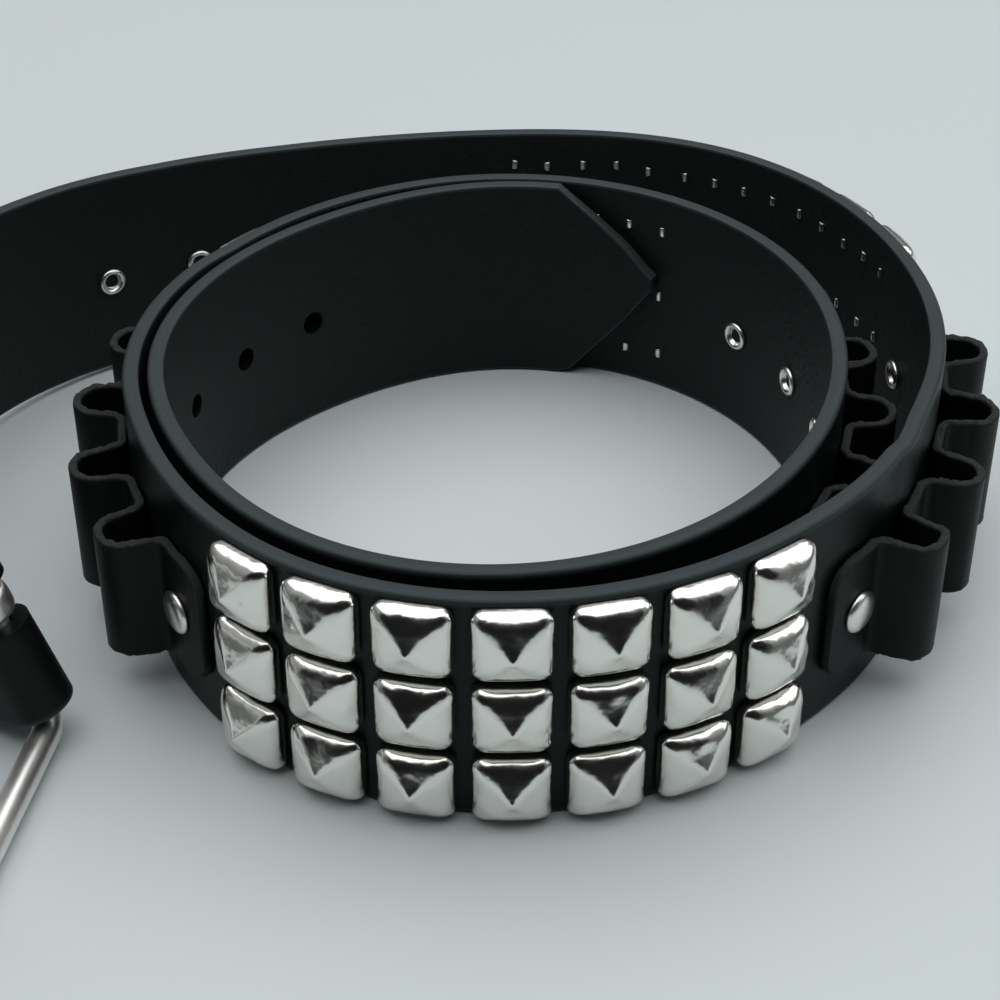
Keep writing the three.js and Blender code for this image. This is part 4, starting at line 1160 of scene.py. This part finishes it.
# The large heads sit a little off the bends beside them. Kind 0 is a flap's rivet, 1 a valley's.
HEAD_SHIFT = 0.7
points, turns, kinds, names = [], [], [], []
for row in loop_rows:
    shifted = np.array(row["runs"]) + [-HEAD_SHIFT, 0, 0, 0, HEAD_SHIFT]
    at, facing = standing_on(shifted, [LOOP_MIDDLE] * 5, 0)
    points += at
    turns += list(facing)
    kinds += [0, 1, 1, 1, 0]
    names += [f"{row['name']}_loop_rivet_{i + 1}" for i in range(5)]
grip = LEATHER + SEAT + LOOP_LEATHER
masters = [turned("flap_rivet", rivet_profile(FLAP_HEAD, grip)),
           turned("valley_rivet", rivet_profile(VALLEY_HEAD, grip))]
rivets = set_pieces("rivets", masters, points, turns, kinds, 7, rivet_nickel)
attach(rivets, "belt")
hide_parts(*names)
print(len(points), "rivets")

# %% [markdown]
# The two rivets that close the fold are set in the same way, and then lean with the strap.

# %% Fold rivets
fold_run = path["length"] - FOLD_RIVET
fold_inner = -(RETURN_GAP + LEATHER)
heights = [MIDDLE - STUD_ROW_PITCH, MIDDLE + STUD_ROW_PITCH]
points, turns = standing_on([fold_run] * 2, heights, fold_inner)
master = turned("fold_rivet", rivet_profile(FLAP_HEAD, LEATHER - fold_inner))
fold_rivets = set_pieces("fold_rivets", [master], points, turns, [0, 0], 8, rivet_nickel)
upright = np.array([v.co for v in fold_rivets.data.vertices]) * 1000 - [*CENTRE, 0]
tilted = (leaned(upright, np.full(len(upright), fold_run)) + [*CENTRE, 0]) / 1000
fold_rivets.data.vertices.foreach_set("co", tilted.astype(np.float32).ravel())
fold_rivets.data.update()
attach(fold_rivets, "belt")
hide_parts("fold_rivet_low", "fold_rivet_high")


# %% Prong ends
# Columns: place along the strap, depth into the leather, half width, half thickness. Where the
# depth is negative, the prong stands out of the flesh face.
BENT_END = [(-0.25, 0.35, 1.05, 0.18), (-0.1, -0.12, 1.05, 0.2), (0.2, -0.3, 1.02, 0.2),
            (0.6, -0.3, 0.95, 0.19), (0.95, -0.12, 0.82, 0.17), (1.15, 0.25, 0.7, 0.14)]
# The corners of its flat section, as shares of the half thickness and the half width.
FLAT_SECTION = [(-1, -0.8), (-0.6, -1), (0.6, -1), (1, -0.8), (1, 0.8), (0.6, 1), (-0.6, 1), (-1, 0.8)]


def prong_end():
    """One bent prong on the flesh side: it leaves the leather, turns over and digs in again."""
    bm = bmesh.new()
    rings = []
    for x, y, w, t in BENT_END:
        lean = 1 if y < 0 else 0.3
        rings.append([bm.verts.new((x + (1 - lean) * t * sx, y - t * sx * lean, w * sz))
                      for sx, sz in FLAT_SECTION])
    bridge(bm, rings)
    bm.faces.new(rings[0])
    bm.faces.new(rings[-1])
    return finished("prong_end", bm)


def mirrored(mesh, name):
    """The same piece turned left to right, with its faces outward again."""
    bm = bmesh.new()
    bm.from_mesh(mesh)
    for v in bm.verts:
        v.co.x = -v.co.x
    bmesh.ops.recalc_face_normals(bm, faces=bm.faces)
    other = bpy.data.meshes.new(name)
    bm.to_mesh(other)
    bm.free()
    other.polygons.foreach_set("use_smooth", [True] * len(other.polygons))
    return other


# The two prongs of a stud come through this far from its middle.
PRONG_END_REACH = 4.1
left_end = prong_end()
points, turns, kinds = [], [], []
dice = np.random.default_rng(3)
for row in rows:
    if row["kind"] == "loops":
        continue
    for run in row["runs"]:
        for k in range(3):
            for side in (-1, 1):
                z = MIDDLE + (k - 1) * STUD_ROW_PITCH + dice.normal(0, 0.25)
                there = run + side * PRONG_END_REACH + dice.normal(0, 0.2)
                at, facing = standing_on([there], [z], 0)
                points += at
                turns += list(facing + dice.normal(0, 0.05, 1))
                kinds.append(0 if side > 0 else 1)
masters = [left_end, mirrored(left_end, "other_prong_end")]
prong_ends = set_pieces("prong_ends", masters, points, turns, kinds, 9, rivet_nickel)
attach(prong_ends, "belt")


# %% [markdown]
# ## The buckle
# The buckle is one loop of round wire. The fold of the strap holds one of its uprights, and the
# rest swings about it, so the loop rides on a body of its own. The prong is a flat tongue that is
# wrapped round the same upright and stands out of the slot.

# %% The wire frame
def tube_rings(line, radius, upright, sides=20):
    """Round sections along a closed line that lies in one plane, whose normal is given."""
    rings = []
    for i, centre in enumerate(line):
        ahead = line[(i + 1) % len(line)] - line[i - 1]
        ahead /= np.linalg.norm(ahead)
        aside = np.cross(ahead, upright)
        turns = [2 * math.pi * k / sides for k in range(sides)]
        rings.append([centre + radius * (aside * math.cos(t) + upright * math.sin(t)) for t in turns])
    return rings


tall = BELT_WIDTH + 2 * RAIL_CLEARANCE + WIRE
line = []
corners = np.array([(0, 0), (FRAME_LENGTH, 0), (FRAME_LENGTH, tall), (0, tall)], float)
for i, corner in enumerate(corners):
    next_corner = corners[(i + 1) % 4]
    before, after = corners[i - 1] - corner, next_corner - corner
    before, after = before / np.linalg.norm(before), after / np.linalg.norm(after)
    centre = corner + (before + after) * FRAME_CORNER
    for t in np.radians(np.linspace(0, 90, 11)):
        line.append(centre - FRAME_CORNER * (after * math.cos(t) + before * math.sin(t)))
    side_start = line[-1]
    span = np.linalg.norm(next_corner - side_start) - FRAME_CORNER
    for share in (0.05, 0.2, 0.4, 0.6, 0.8, 0.95):
        line.append(side_start + after * span * share)
line = np.array([[*(BAR + RAIL[:2] * u), WIRE / 2 + z] for u, z in line])
rings = leaned(tube_rings(line, WIRE / 2, np.array([-RAIL[1], RAIL[0], 0])))
mesh = skin("buckle_wire", rings, closed=True, material=wire_nickel)
buckle_wire = link_object("buckle_wire", mesh)
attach(buckle_wire, "frame")
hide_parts("buckle_frame")


# %% The prong
# How far the wrap's middle lies off the seated wire, and half the tongue's thickness.
WRAP_BEYOND, TONGUE_HALF = 1.1, 1.05
# Columns: distance from the bar, height to the side, share of the width, share of the thickness.
TONGUE = [(3.0, 3.3, 1.0, 1.05), (6, 2.6, 1.0, 1.15), (9, 1.4, 0.98, 1.25), (12, 0.5, 0.97, 1.3),
          (16, 0.1, 0.95, 1.3), (22, 0, 0.94, 1.3), (30, 0, 0.9, 1.3), (37, 0, 0.84, 1.2),
          (42, 0, 0.7, 1.05), (44.5, 0, 0.52, 0.8), (45.4, 0, 0.34, 0.5)]


def prong_rings(sides=16):
    """Rounded oblong sections: well over half a turn round the bar, then out along the tongue."""
    turn = math.atan2(-end_forward[1], -end_forward[0]) + math.radians(PRONG_SWING)
    out = np.array([math.cos(turn), math.sin(turn), 0])
    side = np.array([-math.sin(turn), math.cos(turn), 0])
    bar = np.array([*BAR, BUCKLE_LIFT + MIDDLE])
    radius = WIRE / 2 + SEAT + WRAP_BEYOND
    # The wrap starts behind the bar and comes up to the side where the tongue leaves.
    wrap = [(radius * math.sin(a), -radius * math.cos(a), 1.0, 1.0)
            for a in np.radians(np.linspace(-160, 90, 22))]
    sections = np.array(wrap + TONGUE)
    ahead = np.gradient(sections[:, :2], axis=0)
    ahead /= np.linalg.norm(ahead, axis=1)[:, None]
    rings = []
    for (u, v, width, thick), (fu, fv) in zip(sections, ahead):
        ring = []
        for k in range(sides):
            c, s = math.cos(2 * math.pi * k / sides), math.sin(2 * math.pi * k / sides)
            across = PRONG_WIDTH / 2 * width * math.copysign(abs(c) ** 0.6, c)
            deep = TONGUE_HALF * thick * math.copysign(abs(s) ** 0.75, s)
            flat = out * (u - fv * deep) + side * (v + fu * deep)
            ring.append(bar + flat + np.array([0, 0, across]))
        rings.append(ring)
    return rings


buckle_prong = link_object("prong", skin("prong", leaned(prong_rings()), material=wire_nickel))
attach(buckle_prong, "belt")
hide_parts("buckle_prong")
print("buckle wire and prong made")

# %% [markdown]
# ## The dressed box
# The dressed belt's box is written down in millimetres. The dressed belt has to stay inside the
# engineering model's box.

# %% Write down the dressed box
low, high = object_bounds()
print("dressed box in mm:", [round(1000 * v, 1) for v in (*low, *high)])
